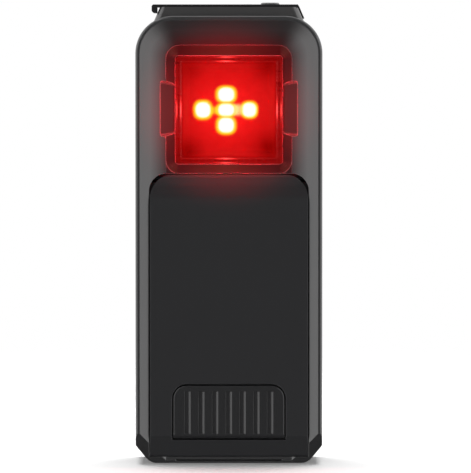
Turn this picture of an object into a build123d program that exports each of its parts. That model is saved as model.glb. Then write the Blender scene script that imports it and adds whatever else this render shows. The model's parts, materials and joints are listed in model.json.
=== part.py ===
from build123d import *
import os

os.makedirs("parts", exist_ok=True)

# Bicycle rear light. Millimetres. +Z is up, -Y is the lit front, -X is the left side seen from the front.
# A depth is measured backwards from the front crest of the body, a height upwards from the ground.

# Body shells
body_width = 40.0
body_height = 95.9
body_depth = 20.0
rear_cover_depth = 4.0
corner_radius = 8.0
base_chamfer_width = 3.1
base_chamfer_height = 3.9
base_side_fillet = 1.0
base_corner_fillet = 3.0
wall = 1.6
crest_fillet = 0.5
crest_land = 0.9
foot_break_height = 6.5
foot_slope_depth = 2.4
back_fillet = 2.5
case_seal_width = 0.7
case_seal_depth = 0.6
seam_chamfer = 0.2
half_width = body_width / 2
wall_inside_x = half_width - wall
housing_depth = body_depth - rear_cover_depth
cover_inside_depth = body_depth - wall

# Fits between pieces
fixed_gap = 0.1
moving_gap = 0.2
running_fit = 0.05
cut_overrun = 1.0

# Lens and gasket, placed from the body's sides and top
lens_side_margin = 8.6
lens_top_margin = 8.6
lens_height = 23.0
lens_corner_radius = 0.6
lens_front_depth = 4.4
lens_edge_fillet = 0.3
lens_face_thickness = 1.3
lens_side_thickness = 1.3
lens_flange_width = 1.1
lens_flange_thickness = 1.0
gasket_thickness = 0.5
gasket_width = 0.9
lens_half_width = half_width - lens_side_margin
lens_half_height = lens_height / 2
lens_centre_height = body_height - lens_top_margin - lens_half_height
lens_flange_half_width = lens_half_width + lens_flange_width
lens_flange_half_height = lens_half_height + lens_flange_width

# Sloped frame and recess round the lens
frame_slope_depth = 2.2
frame_corner_radius = 3.0
recess_depth = 5.0
recess_floor_wall = 1.2
recess_flare_side = 2.1
recess_flare_top = 2.4
recess_flare_bottom = 2.2
notch_reach = 1.2
notch_rise = 6.2
notch_drop = 5.6
notch_edge_depth = 1.9
notch_end_slant = 0.5
notch_corner_radius = 0.5
frame_half_width = lens_half_width + recess_flare_side
frame_top = lens_centre_height + lens_half_height + recess_flare_top
recess_bottom = lens_centre_height - lens_half_height - recess_flare_bottom
recess_floor_back = recess_depth + recess_floor_wall
notch_half_width = frame_half_width + notch_reach
notch_bottom = lens_centre_height - notch_drop
notch_top = lens_centre_height + notch_rise
lens_flange_depth = recess_floor_back + gasket_thickness
reflector_front_depth = lens_flange_depth + lens_flange_thickness

# Battery cover, the black panel that swings out from its top edge
side_rail_width = 3.1
cover_bottom = 1.6
cover_corner_radius = 5.0
cover_corner_relief = 1.5
cover_front_depth = 0.3
cover_thickness = 1.6
cover_break_height = 6.0
cover_foot_slope_depth = 1.6
cover_foot_back_depth = 3.2
cover_foot_top = 4.6
cover_top_gap = 0.1
cover_roll_length = 5.7
cover_barrel_radius = 0.8
cover_pin_radius = 0.4
cover_pin_depth = 2.4
cover_pin_hold = 1.7
cover_half_width = half_width - side_rail_width
cover_back_depth = cover_front_depth + cover_thickness
cover_top = recess_bottom - cover_top_gap
cover_pin_height = cover_top - cover_barrel_radius
cover_roll_height = cover_pin_height - cover_roll_length
cover_corner_rise = cover_corner_radius - cover_barrel_radius * 2
cover_corner_reach = (cover_corner_radius**2 - cover_corner_rise**2) ** 0.5
barrel_half_length = cover_half_width - cover_corner_radius + cover_corner_reach
cover_pin_half_length = barrel_half_length + moving_gap + cover_pin_hold

# Ribbed release latch in the foot of the cover
latch_side_margin = 5.0
latch_bottom = 5.3
latch_top = 16.8
latch_corner_radius = 2.8
latch_gap = 0.3
latch_thickness = 1.6
latch_pin_radius = 0.35
latch_pin_reach = 1.2
rib_count = 7
rib_side_margin = 3.05
rib_end_margin = 1.3
rib_start_margin = 1.1
rib_groove_width = 1.28
rib_groove_depth = 0.3
rib_flank_width = 0.42
latch_room_depth = 4.2
latch_edge_fillet = 0.25
latch_half_width = cover_half_width - latch_side_margin
latch_pin_depth = cover_front_depth + latch_thickness / 2
latch_pin_height = latch_bottom + latch_thickness / 2
latch_pin_half_length = latch_half_width + latch_pin_reach
rib_pitch = (latch_half_width - rib_side_margin) * 2 / (rib_count - 1)
rib_groove_bottom = latch_bottom + rib_start_margin
rib_groove_top = latch_top - rib_end_margin

# Dark slot across the foot
drain_slot_margin = 0.5
drain_slot_bottom = 0.45
drain_slot_height = 0.4
drain_slot_depth = 1.5
drain_slot_half_width = latch_half_width - drain_slot_margin

# Main board, in front of the rear cover
board_setback = 2.6
board_thickness = 1.0
board_side_gap = 3.9
board_bottom = 10.4
board_top_gap = 2.3
board_shoulder_drop = 9.5
board_neck_margin = 3.0
board_screw_margin = 2.0
chip_width = 7.0
chip_height = 0.9
chip_low_height = 30.0
chip_high_height = 43.0
coil_width = 4.0
coil_height = 2.0
coil_drop = 5.8
link_width = 8.0
link_length = 3.0
link_reach = 1.8
link_drop = 7.8
board_front_depth = housing_depth - board_setback
board_back_depth = board_front_depth + board_thickness
board_half_width = wall_inside_x - board_side_gap
board_top = body_height - board_top_gap
board_shoulder_height = body_height - board_shoulder_drop
coil_place_height = lens_centre_height - coil_drop
link_place_height = lens_centre_height - link_drop
standoff_x = board_half_width - board_screw_margin
standoff_radius = 1.6

# Light emitters, in a cross on their own board behind the reflector
emitter_centre_x = -0.6
emitter_pitch_x = 5.0
emitter_pitch_z = 3.3
emitter_width = 1.5
emitter_height = 0.7
emitter_dome_radius = 0.65
cup_front_radius = 1.6
cup_back_radius = 1.2
led_board_side_gap = 1.0
led_board_rise = 11.1
led_board_drop = 11.6
led_board_thickness = 1.0
led_boss_margin = 2.0
led_boss_radius = 1.9
led_board_half_width = wall_inside_x - led_board_side_gap
led_board_bottom = lens_centre_height - led_board_drop
led_board_top = lens_centre_height + led_board_rise
led_board_back_depth = board_front_depth - link_reach
led_board_depth = led_board_back_depth - led_board_thickness
led_boss_x = led_board_half_width - led_boss_margin
reflector_thickness = led_board_depth - reflector_front_depth

# Battery bay, tray, battery and its seal
bay_side_margin = 3.5
bay_bottom_margin = 2.9
bay_top_margin = 2.0
bay_corner_radius = 1.0
seal_width = 0.8
seal_depth = 0.7
seal_margin = 0.9
tray_front_depth = 3.9
tray_wall = 1.5
tray_floor_thickness = 1.0
tray_back_gap = 2.3
tray_clearance_above = 1.4
battery_front_depth = 3.4
battery_side_gap = 0.3
battery_edge_fillet = 0.8
contact_radius = 0.8
contact_rise = 4.3
contact_pitch = 4.0
contact_count = 3
standoff_low_margin = 2.3
standoff_high_margin = 2.5
housing_post_drop = 1.6
bay_half_width = cover_half_width - bay_side_margin
bay_bottom = latch_top + bay_bottom_margin
bay_top = cover_roll_height - bay_top_margin
seal_floor_depth = cover_back_depth + moving_gap
seal_outer_half_width = bay_half_width + seal_margin + seal_width
seal_outer_bottom = bay_bottom - seal_margin - seal_width
seal_outer_top = bay_top + seal_margin + seal_width
seal_corner_radius = bay_corner_radius + seal_margin + seal_width
tray_back_depth = board_front_depth - tray_back_gap
tray_floor_depth = tray_back_depth - tray_floor_thickness
battery_thickness = tray_floor_depth - fixed_gap - battery_front_depth
contact_height = bay_bottom + contact_rise
standoff_low_height = bay_bottom + standoff_low_margin
standoff_high_height = bay_top - standoff_high_margin
housing_post_height = cover_top - housing_post_drop

# Top plinth, port and its cover
plinth_side_margin = 3.7
plinth_slant = 1.5
plinth_sink = 1.4
plinth_height = 2.0
plinth_setback = 4.6
plinth_corner_fillet = 1.2
neck_side_margin = 2.2
neck_front_reach = 4.3
neck_back_reach = 3.5
port_side_margin = 2.63
port_shell_width = 8.94
port_shell_thickness = 3.2
port_shell_wall = 0.3
port_shell_length = 8.6
port_mouth_drop = 0.7
port_tongue_width = 6.7
port_tongue_thickness = 0.7
port_tongue_length = 6.0
flap_thickness = 0.5
flap_margin = 0.3
flap_hinge_setback = 4.7
flap_lip_overhang = 0.3
flap_lip_width = 1.1
flap_lip_fillet = 0.5
flap_lip_drop = 1.2
flap_plug_depth = 0.9
flap_plug_side_gap = 0.45
strap_skirt_thickness = 0.35
strap_skirt_drop = 2.4
plinth_base_half_width = half_width - plinth_side_margin
plinth_top_half_width = plinth_base_half_width - plinth_slant
plinth_bottom = body_height - plinth_sink
plinth_top = body_height + plinth_height
plinth_front_depth = plinth_setback
plinth_back_depth = body_depth - plinth_setback
neck_half_width = plinth_top_half_width - neck_side_margin
port_centre_x = -(neck_half_width - port_side_margin - port_shell_width / 2)
port_centre_depth = board_front_depth - port_shell_thickness / 2 - fixed_gap
neck_front_depth = port_centre_depth - neck_front_reach
neck_back_depth = port_centre_depth + neck_back_reach
port_mouth_height = plinth_top - port_mouth_drop
port_shell_bottom = port_mouth_height - port_shell_length

# Mode button on the top, with its switch
mode_button_margin = 3.7
mode_button_radius = 2.05
mode_button_rise = 1.05
mode_button_travel = 0.5
mode_button_flange_radius = 2.8
mode_button_flange_drop = 1.1
mode_button_flange_thickness = 0.6
mode_button_dome_fillet = 0.4
stem_radius = 0.9
mode_boot_thickness = 0.6
switch_width = 5.8
switch_depth = 3.2
switch_length = 3.4
switch_drop = 5.1
plunger_radius = 0.7
plunger_length = 1.6
plunger_reach = 0.8
mode_button_x = neck_half_width - mode_button_margin
mode_button_top = plinth_top + mode_button_rise
mode_button_flange_top = plinth_top - mode_button_flange_drop
mode_boot_bottom = body_height - wall + fixed_gap
mode_switch_top = plinth_top - switch_drop
flap_hinge_x = mode_button_x - flap_hinge_setback
flap_lip_outer_x = plinth_base_half_width + flap_lip_overhang
flap_lip_bottom = plinth_top - flap_lip_drop
flap_bottom = plinth_top + running_fit
flap_top = flap_bottom + flap_thickness
flap_axis_height = flap_bottom + flap_thickness / 2
strap_start_x = flap_hinge_x + flap_thickness / 2 + moving_gap
strap_end_x = plinth_top_half_width + strap_skirt_thickness
strap_skirt_shift = plinth_slant * strap_skirt_drop / (plinth_top - plinth_bottom)

# Round key on the left side, inside a raised ring, with its switch
side_button_height = 14.6
side_button_radius = 2.6
side_button_travel = 0.4
side_flange_radius = 3.3
side_flange_thickness = 0.6
side_button_fillet = 0.3
ring_inner_radius = 2.9
ring_outer_radius = 3.9
ring_proud = 0.2
ring_chamfer = 0.12
side_boot_outer_radius = 4.2
side_boot_wall = 0.6
side_boot_length = 1.6
side_boot_face = 0.4
side_switch_setback = 2.8
side_switch_face_x = wall_inside_x - side_switch_setback

# Status light window on the left side
window_drop = 14.8
window_length = 4.3
window_width = 2.0
window_proud = 0.15
window_board_gap = 0.6
status_led_width = 1.6
status_led_length = 2.2
status_led_thickness = 1.4
status_led_gap = 0.15
window_inner_x = board_half_width + window_board_gap
window_height = housing_post_height - window_drop

# Screws: shank radius, head radius, head thickness
case_screw_radius = 1.0
case_screw_head_radius = 1.8
case_screw_head_thickness = 1.3
case_screw_length = 8.0
case_boss_radius = 2.3
case_screw_low_margin = 4.8
case_screw_low_height = 7.6
case_screw_high_margin = 5.2
case_screw_high_drop = 6.2
small_screw_radius = 0.8
small_screw_head_radius = 1.4
small_screw_head_thickness = 0.8
small_screw_length = 3.0
drive_recess_width = 0.9
drive_recess_depth = 0.5
case_screw_low_x = half_width - case_screw_low_margin
case_screw_high_x = half_width - case_screw_high_margin
case_screw_high_height = body_height - case_screw_high_drop
board_neck_half_width = case_screw_high_x - board_neck_margin
case_screw_seat_depth = body_depth - case_screw_head_thickness - fixed_gap
case_screw_hole_depth = case_screw_seat_depth - case_screw_length - fixed_gap
led_screw_hole_depth = led_board_back_depth - small_screw_length - fixed_gap
board_screw_hole_depth = board_back_depth - small_screw_length - fixed_gap

# Quarter-turn mount on the back
mount_centre_height = 60.0
mount_flange_radius = 12.4
mount_flange_thickness = 1.0
mount_neck_radius = 7.7
mount_neck_length = 1.4
mount_wing_radius = 10.8
mount_wing_half_width = 5.4
mount_wing_thickness = 1.4
mount_screw_offset = 9.9
mount_screw_count = 4
mount_boss_radius = 2.0
mount_boss_height = 1.0
mount_dish_radius = 5.0
mount_dish_depth = 0.8
press_post_radius = 1.3
mount_height = mount_flange_thickness + mount_neck_length + mount_wing_thickness
mount_seat_depth = body_depth + mount_flange_thickness
press_post_height = (standoff_low_height + standoff_high_height) / 2
mount_screw_hole_depth = mount_seat_depth - small_screw_length - fixed_gap

# The origin lies under the middle of the whole depth, mount included
front_y = -(body_depth + mount_height) / 2
port_centre_y = front_y + port_centre_depth

# Places of the pieces that repeat
case_screw_places = [
    (-case_screw_low_x, case_screw_low_height),
    (case_screw_low_x, case_screw_low_height),
    (-case_screw_high_x, case_screw_high_height),
    (case_screw_high_x, case_screw_high_height),
]
tray_screw_places = [
    (side * standoff_x, height)
    for side in (-1, 1)
    for height in (standoff_low_height, standoff_high_height)
]
post_screw_places = [(side * standoff_x, housing_post_height) for side in (-1, 1)]
led_screw_places = [(side * led_boss_x, lens_centre_height) for side in (-1, 1)]
emitter_places = [
    (emitter_centre_x, lens_centre_height),
    (emitter_centre_x - emitter_pitch_x, lens_centre_height),
    (emitter_centre_x + emitter_pitch_x, lens_centre_height),
    (emitter_centre_x, lens_centre_height - emitter_pitch_z),
    (emitter_centre_x, lens_centre_height + emitter_pitch_z),
]


def front_plane(depth):
    """Plane that faces the front, at a depth behind the crest. An extrusion from it runs forwards."""
    return Plane.XZ.offset(-(front_y + depth))


def at_depth(depth, height):
    """Point of a side view sketched on Plane.YZ."""
    return (front_y + depth, height)


def body_outline(inset=0):
    """Front silhouette of the body, drawn smaller by the inset: round top corners, chamfered foot."""
    with BuildLine() as outline:
        FilletPolyline(
            (-half_width, body_height - corner_radius),
            (-half_width, base_chamfer_height),
            (-half_width + base_chamfer_width, 0),
            (half_width - base_chamfer_width, 0),
            (half_width, base_chamfer_height),
            (half_width, body_height - corner_radius),
            radius=[base_side_fillet, base_corner_fillet, base_corner_fillet, base_side_fillet],
        )
        CenterArc((half_width - corner_radius, body_height - corner_radius), corner_radius, 0, 90)
        Line((half_width - corner_radius, body_height), (-half_width + corner_radius, body_height))
        CenterArc((-half_width + corner_radius, body_height - corner_radius), corner_radius, 90, 90)
    make_face(outline.edges())
    if inset:
        offset(amount=-inset, kind=Kind.INTERSECTION)


def arch_outline(half, bottom, top, radius):
    """Upright panel with square lower corners and two rounded top corners."""
    with BuildLine() as outline:
        Polyline((-half, top - radius), (-half, bottom), (half, bottom), (half, top - radius))
        CenterArc((half - radius, top - radius), radius, 0, 90)
        Line((half - radius, top), (-half + radius, top))
        CenterArc((-half + radius, top - radius), radius, 90, 90)
    make_face(outline.edges())


def box_outline(half, bottom, top, radius):
    """Upright rectangle with four rounded corners."""
    with Locations((0, (bottom + top) / 2)):
        RectangleRounded(half * 2, top - bottom, radius)


def cover_side_profile():
    """Side view of the battery cover: sloped foot, flat face, and a top edge that rolls back to the pin."""
    roll_middle = (cover_roll_height + cover_pin_height) / 2
    barrel_front_depth = cover_pin_depth - cover_barrel_radius
    with BuildLine() as outline:
        Polyline(
            at_depth(cover_front_depth + cover_foot_slope_depth, cover_bottom),
            at_depth(cover_front_depth, cover_break_height),
            at_depth(cover_front_depth, cover_roll_height),
        )
        Bezier(
            at_depth(cover_front_depth, cover_roll_height),
            at_depth(cover_front_depth, roll_middle),
            at_depth(barrel_front_depth, roll_middle),
            at_depth(barrel_front_depth, cover_pin_height),
        )
        CenterArc(at_depth(cover_pin_depth, cover_pin_height), cover_barrel_radius, 180, -270)
        Polyline(
            at_depth(cover_pin_depth, cover_pin_height - cover_barrel_radius),
            at_depth(cover_back_depth, cover_roll_height),
            at_depth(cover_back_depth, cover_foot_top),
            at_depth(cover_foot_back_depth, cover_foot_top),
            at_depth(cover_foot_back_depth, cover_bottom),
            at_depth(cover_front_depth + cover_foot_slope_depth, cover_bottom),
        )
    make_face(outline.edges())


def screw_set(places, seat_depth, shank_radius, head_radius, head_thickness, length):
    """Pan-head screws driven from behind: the head lies behind its seat, the shank runs forwards."""
    with BuildSketch(front_plane(seat_depth + head_thickness)) as heads:
        with Locations(*places):
            Circle(head_radius)
    extrude(heads.sketch, amount=head_thickness)
    with BuildSketch(front_plane(seat_depth)) as shanks:
        with Locations(*places):
            Circle(shank_radius)
    extrude(shanks.sketch, amount=length)
    with BuildSketch(front_plane(seat_depth + head_thickness)) as drives:
        with Locations(*places):
            RegularPolygon(drive_recess_width, 6)
    extrude(drives.sketch, amount=drive_recess_depth, mode=Mode.SUBTRACT)


# Room for the battery cover in the front of the housing, a gap larger than the cover all round
with BuildPart() as cover_room:
    with BuildSketch(Plane.YZ):
        cover_side_profile()
        offset(amount=moving_gap)
        with BuildLine():
            Polyline(
                at_depth(-cut_overrun, cover_bottom - moving_gap),
                at_depth(cover_foot_back_depth, cover_bottom - moving_gap),
                at_depth(cover_back_depth, cover_foot_top),
                at_depth(cover_back_depth, cover_roll_height),
                at_depth(cover_pin_depth, cover_top + moving_gap),
                at_depth(-cut_overrun, cover_top + moving_gap),
                close=True,
            )
        make_face()
    extrude(amount=half_width, both=True)
    with BuildSketch(front_plane(housing_depth)):
        arch_outline(
            cover_half_width + moving_gap,
            cover_bottom - moving_gap,
            cover_top + moving_gap,
            cover_corner_radius + moving_gap - cover_corner_relief,
        )
    extrude(amount=housing_depth + cut_overrun, mode=Mode.INTERSECT)
    # The barrel's ends turn behind the round corners of the outline
    with BuildSketch(Plane.YZ):
        with Locations(at_depth(cover_pin_depth, cover_pin_height)):
            Circle(cover_barrel_radius + moving_gap)
    extrude(amount=barrel_half_length + moving_gap, both=True)

# Front housing: outer tub with the sloped frame, lens recess, cover pocket and bosses
with BuildPart() as front_housing:
    with BuildSketch(front_plane(housing_depth)):
        body_outline()
    extrude(amount=housing_depth)
    chamfer(front_housing.edges().group_by(Axis.Y)[-1], seam_chamfer)
    fillet(front_housing.edges().group_by(Axis.Y)[0], crest_fillet)
    with BuildSketch(Plane.YZ):
        with BuildLine():
            Polyline(
                at_depth(0, foot_break_height),
                at_depth(foot_slope_depth, 0),
                at_depth(foot_slope_depth, -cut_overrun),
                at_depth(-cut_overrun, -cut_overrun),
                at_depth(-cut_overrun, foot_break_height),
                close=True,
            )
        make_face()
    extrude(amount=body_width, both=True, mode=Mode.SUBTRACT)
    # Sloped frame that also forms the two side rails
    with BuildSketch(front_plane(0)):
        arch_outline(
            half_width - crest_land,
            -cut_overrun,
            body_height - crest_land,
            corner_radius - crest_land,
        )
    with BuildSketch(front_plane(frame_slope_depth)):
        arch_outline(frame_half_width, -cut_overrun, frame_top, frame_corner_radius)
    loft(ruled=True, mode=Mode.SUBTRACT)
    # Recess that narrows down to the lens
    with BuildSketch(front_plane(frame_slope_depth)):
        box_outline(frame_half_width, recess_bottom, frame_top, frame_corner_radius)
    with BuildSketch(front_plane(recess_depth)):
        box_outline(
            lens_half_width + moving_gap,
            lens_centre_height - lens_half_height - moving_gap,
            lens_centre_height + lens_half_height + moving_gap,
            lens_corner_radius + moving_gap,
        )
    loft(ruled=True, mode=Mode.SUBTRACT)
    # Notches beside the lens, where the recess starts to narrow further out and between slanted ends
    with BuildSketch(front_plane(notch_edge_depth)) as notch_edge:
        box_outline(notch_half_width, notch_bottom, notch_top, notch_corner_radius)
    with BuildSketch(front_plane(recess_depth)):
        box_outline(
            lens_half_width + moving_gap,
            notch_bottom + notch_end_slant,
            notch_top - notch_end_slant,
            notch_corner_radius,
        )
    loft(ruled=True, mode=Mode.SUBTRACT)
    extrude(notch_edge.sketch, amount=notch_edge_depth, mode=Mode.SUBTRACT)
    with BuildSketch(front_plane(recess_floor_back)):
        box_outline(
            lens_half_width + fixed_gap,
            lens_centre_height - lens_half_height - fixed_gap,
            lens_centre_height + lens_half_height + fixed_gap,
            lens_corner_radius,
        )
    extrude(amount=recess_floor_back, mode=Mode.SUBTRACT)
    # Inside of the tub, behind the lens recess and, further forwards, round the battery tray
    with BuildSketch(front_plane(housing_depth)):
        body_outline(wall)
    extrude(amount=housing_depth - recess_floor_back, mode=Mode.SUBTRACT)
    with BuildSketch(front_plane(recess_floor_back)):
        box_outline(
            half_width - wall,
            bay_bottom - tray_wall - tray_clearance_above,
            bay_top + tray_wall + tray_clearance_above,
            bay_corner_radius,
        )
    extrude(amount=recess_floor_back - tray_front_depth, mode=Mode.SUBTRACT)
    add(cover_room.part, mode=Mode.SUBTRACT)
    with BuildSketch(front_plane(tray_front_depth)):
        box_outline(bay_half_width, bay_bottom, bay_top, bay_corner_radius)
    extrude(amount=tray_front_depth, mode=Mode.SUBTRACT)
    # Groove for the cover seal
    with BuildSketch(front_plane(seal_floor_depth + seal_depth)):
        box_outline(seal_outer_half_width, seal_outer_bottom, seal_outer_top, seal_corner_radius)
        offset(amount=-seal_width, mode=Mode.SUBTRACT)
    extrude(amount=seal_depth, mode=Mode.SUBTRACT)
    # Room for the latch to be pressed in
    with BuildSketch(front_plane(latch_room_depth)):
        arch_outline(
            latch_half_width + latch_gap,
            cover_foot_top + moving_gap,
            latch_top + latch_gap,
            latch_corner_radius + latch_gap,
        )
    extrude(amount=latch_room_depth, mode=Mode.SUBTRACT)
    # Blind holes for the two ends of the cover pin
    with BuildSketch(Plane.YZ):
        with Locations(at_depth(cover_pin_depth, cover_pin_height)):
            Circle(cover_pin_radius + running_fit)
    extrude(amount=cover_pin_half_length + fixed_gap, both=True, mode=Mode.SUBTRACT)
    # Bosses for the case screws, the light board and the main board
    with BuildSketch(front_plane(housing_depth)):
        with Locations(*case_screw_places):
            Circle(case_boss_radius)
    extrude(amount=housing_depth - recess_floor_back)
    with BuildSketch(front_plane(led_board_depth)):
        with Locations(*led_screw_places):
            Circle(led_boss_radius)
    extrude(amount=led_board_depth - recess_floor_back)
    with BuildSketch(front_plane(board_front_depth)):
        with Locations(*post_screw_places):
            Circle(standoff_radius)
    extrude(amount=board_front_depth - recess_floor_back)
    with BuildSketch(front_plane(housing_depth)):
        with Locations(*case_screw_places):
            Circle(case_screw_radius + running_fit)
    extrude(amount=housing_depth - case_screw_hole_depth, mode=Mode.SUBTRACT)
    with BuildSketch(front_plane(led_board_depth)):
        with Locations(*led_screw_places):
            Circle(small_screw_radius + running_fit)
    extrude(amount=led_board_depth - led_screw_hole_depth, mode=Mode.SUBTRACT)
    with BuildSketch(front_plane(board_front_depth)):
        with Locations(*post_screw_places):
            Circle(small_screw_radius + running_fit)
    extrude(amount=board_front_depth - board_screw_hole_depth, mode=Mode.SUBTRACT)
    # Window in the top for the plinth neck
    with BuildSketch(Plane.XY.offset(body_height - wall - fixed_gap)):
        with Locations((0, front_y + (neck_front_depth + neck_back_depth) / 2)):
            Rectangle(neck_half_width * 2 + fixed_gap * 2, neck_back_depth - neck_front_depth + fixed_gap * 2)
    extrude(amount=wall + cut_overrun, mode=Mode.SUBTRACT)
    # Left side: raised ring round the key, hole for the key, hole for the status window
    with BuildSketch(Plane.YZ.offset(-half_width)):
        with Locations(at_depth(port_centre_depth, side_button_height)):
            Circle(ring_outer_radius)
    extrude(amount=-ring_proud)
    chamfer(front_housing.faces().sort_by(Axis.X)[0].edges(), ring_chamfer)
    with BuildSketch(Plane.YZ.offset(-half_width)):
        with Locations(at_depth(port_centre_depth, side_button_height)):
            Circle(side_button_radius + moving_gap)
    extrude(amount=wall + fixed_gap, mode=Mode.SUBTRACT)
    with BuildSketch(Plane.YZ.offset(-half_width)):
        with Locations(at_depth(port_centre_depth, side_button_height)):
            Circle(ring_inner_radius)
    extrude(amount=-ring_proud, mode=Mode.SUBTRACT)
    with BuildSketch(Plane.YZ.offset(-half_width - cut_overrun)):
        with Locations(at_depth(port_centre_depth, window_height)):
            SlotOverall(window_length + fixed_gap * 2, window_width + fixed_gap * 2, rotation=90)
    extrude(amount=wall + cut_overrun * 2, mode=Mode.SUBTRACT)
    # Dark slot across the foot
    with BuildSketch(front_plane(foot_slope_depth + drain_slot_depth)):
        with Locations((0, drain_slot_bottom + drain_slot_height / 2)):
            Rectangle(drain_slot_half_width * 2, drain_slot_height)
    extrude(amount=foot_slope_depth + drain_slot_depth, mode=Mode.SUBTRACT)
front_housing.part.label = "front_housing"
export_step(front_housing.part, "parts/front_housing.step")

# Rear cover: shallow tray with screw columns, mount bosses and two posts that press on the board
with BuildPart() as rear_cover:
    with BuildSketch(front_plane(body_depth)):
        body_outline()
    extrude(amount=body_depth - housing_depth)
    chamfer(rear_cover.edges().group_by(Axis.Y)[0], seam_chamfer)
    fillet(rear_cover.edges().group_by(Axis.Y)[-1], back_fillet)
    with BuildSketch(front_plane(cover_inside_depth)):
        body_outline(wall)
    extrude(amount=cover_inside_depth - housing_depth, mode=Mode.SUBTRACT)
    with BuildSketch(front_plane(cover_inside_depth)):
        with Locations(*case_screw_places):
            Circle(case_boss_radius)
    extrude(amount=cover_inside_depth - housing_depth)
    with BuildSketch(front_plane(cover_inside_depth)):
        with Locations((0, mount_centre_height)):
            with PolarLocations(mount_screw_offset, mount_screw_count, start_angle=45):
                Circle(mount_boss_radius)
    extrude(amount=mount_boss_height)
    with BuildSketch(front_plane(cover_inside_depth)):
        with Locations((-standoff_x, press_post_height), (standoff_x, press_post_height)):
            Circle(press_post_radius)
    extrude(amount=cover_inside_depth - board_back_depth - fixed_gap)
    with BuildSketch(front_plane(body_depth)):
        with Locations(*case_screw_places):
            Circle(case_screw_radius + fixed_gap)
    extrude(amount=body_depth - housing_depth, mode=Mode.SUBTRACT)
    with BuildSketch(front_plane(body_depth)):
        with Locations(*case_screw_places):
            Circle(case_screw_head_radius + moving_gap)
    extrude(amount=body_depth - case_screw_seat_depth, mode=Mode.SUBTRACT)
    with BuildSketch(front_plane(body_depth)):
        with Locations((0, mount_centre_height)):
            with PolarLocations(mount_screw_offset, mount_screw_count, start_angle=45):
                Circle(small_screw_radius + running_fit)
    extrude(amount=body_depth - mount_screw_hole_depth, mode=Mode.SUBTRACT)
    # Groove for the seal between the shells
    with BuildSketch(front_plane(housing_depth + case_seal_depth)):
        body_outline((wall - case_seal_width) / 2)
        offset(amount=-case_seal_width, kind=Kind.INTERSECTION, mode=Mode.SUBTRACT)
    extrude(amount=case_seal_depth, mode=Mode.SUBTRACT)
rear_cover.part.label = "rear_cover"
export_step(rear_cover.part, "parts/rear_cover.step")

with BuildPart() as case_seal:
    with BuildSketch(front_plane(housing_depth + case_seal_depth)):
        body_outline((wall - case_seal_width) / 2 + running_fit)
        offset(amount=-case_seal_width + running_fit * 2, kind=Kind.INTERSECTION, mode=Mode.SUBTRACT)
    extrude(amount=case_seal_depth)
case_seal.part.label = "case_seal"
export_step(case_seal.part, "parts/case_seal.step")

with BuildPart() as case_screws:
    screw_set(
        case_screw_places,
        case_screw_seat_depth,
        case_screw_radius,
        case_screw_head_radius,
        case_screw_head_thickness,
        case_screw_length,
    )
case_screws.part.label = "case_screws"
export_step(case_screws.part, "parts/case_screws.step")

# Lens: shallow dish whose flange is trapped behind the recess wall
with BuildPart() as lens:
    with BuildSketch(front_plane(lens_flange_depth)):
        with Locations((0, lens_centre_height)):
            RectangleRounded(lens_half_width * 2, lens_height, lens_corner_radius)
    extrude(amount=lens_flange_depth - lens_front_depth)
    fillet(lens.edges().group_by(Axis.Y)[0], lens_edge_fillet)
    with BuildSketch(front_plane(reflector_front_depth)):
        with Locations((0, lens_centre_height)):
            RectangleRounded(lens_flange_half_width * 2, lens_flange_half_height * 2, lens_corner_radius)
    extrude(amount=lens_flange_thickness)
    with BuildSketch(front_plane(reflector_front_depth)):
        with Locations((0, lens_centre_height)):
            Rectangle((lens_half_width - lens_side_thickness) * 2, lens_height - lens_side_thickness * 2)
    extrude(amount=reflector_front_depth - lens_front_depth - lens_face_thickness, mode=Mode.SUBTRACT)
lens.part.label = "lens"
export_step(lens.part, "parts/lens.step")

with BuildPart() as lens_gasket:
    with BuildSketch(front_plane(lens_flange_depth)):
        with Locations((0, lens_centre_height)):
            RectangleRounded(lens_flange_half_width * 2, lens_flange_half_height * 2, lens_corner_radius)
            Rectangle(
                (lens_flange_half_width - gasket_width) * 2,
                (lens_flange_half_height - gasket_width) * 2,
                mode=Mode.SUBTRACT,
            )
    extrude(amount=gasket_thickness)
lens_gasket.part.label = "lens_gasket"
export_step(lens_gasket.part, "parts/lens_gasket.step")

# Reflector: one block with a flared cup over each emitter
with BuildPart() as reflector:
    with BuildSketch(front_plane(led_board_depth)):
        with Locations((0, lens_centre_height)):
            RectangleRounded(lens_flange_half_width * 2, lens_flange_half_height * 2, lens_corner_radius)
    extrude(amount=reflector_thickness)
    with Locations(front_plane(led_board_depth)):
        with Locations(*emitter_places):
            Cone(
                cup_back_radius,
                cup_front_radius,
                reflector_thickness,
                align=(Align.CENTER, Align.CENTER, Align.MIN),
                mode=Mode.SUBTRACT,
            )
reflector.part.label = "reflector"
export_step(reflector.part, "parts/reflector.step")

with BuildPart() as led_board:
    with BuildSketch(front_plane(led_board_back_depth)):
        box_outline(led_board_half_width, led_board_bottom, led_board_top, lens_corner_radius)
        with Locations(*led_screw_places):
            Circle(small_screw_radius + fixed_gap, mode=Mode.SUBTRACT)
    extrude(amount=led_board_thickness)
led_board.part.label = "led_board"
export_step(led_board.part, "parts/led_board.step")

with BuildPart() as led_packages:
    with BuildSketch(front_plane(led_board_depth)):
        with Locations(*emitter_places):
            Rectangle(emitter_width, emitter_width)
    extrude(amount=emitter_height)
led_packages.part.label = "led_packages"
export_step(led_packages.part, "parts/led_packages.step")

with BuildPart() as led_domes:
    with Locations(front_plane(led_board_depth - emitter_height)):
        with Locations(*emitter_places):
            Sphere(emitter_dome_radius, arc_size1=0, align=(Align.CENTER, Align.CENTER, Align.MIN))
led_domes.part.label = "led_domes"
export_step(led_domes.part, "parts/led_domes.step")

with BuildPart() as led_board_screws:
    screw_set(
        led_screw_places,
        led_board_back_depth,
        small_screw_radius,
        small_screw_head_radius,
        small_screw_head_thickness,
        small_screw_length,
    )
led_board_screws.part.label = "led_board_screws"
export_step(led_board_screws.part, "parts/led_board_screws.step")

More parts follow.
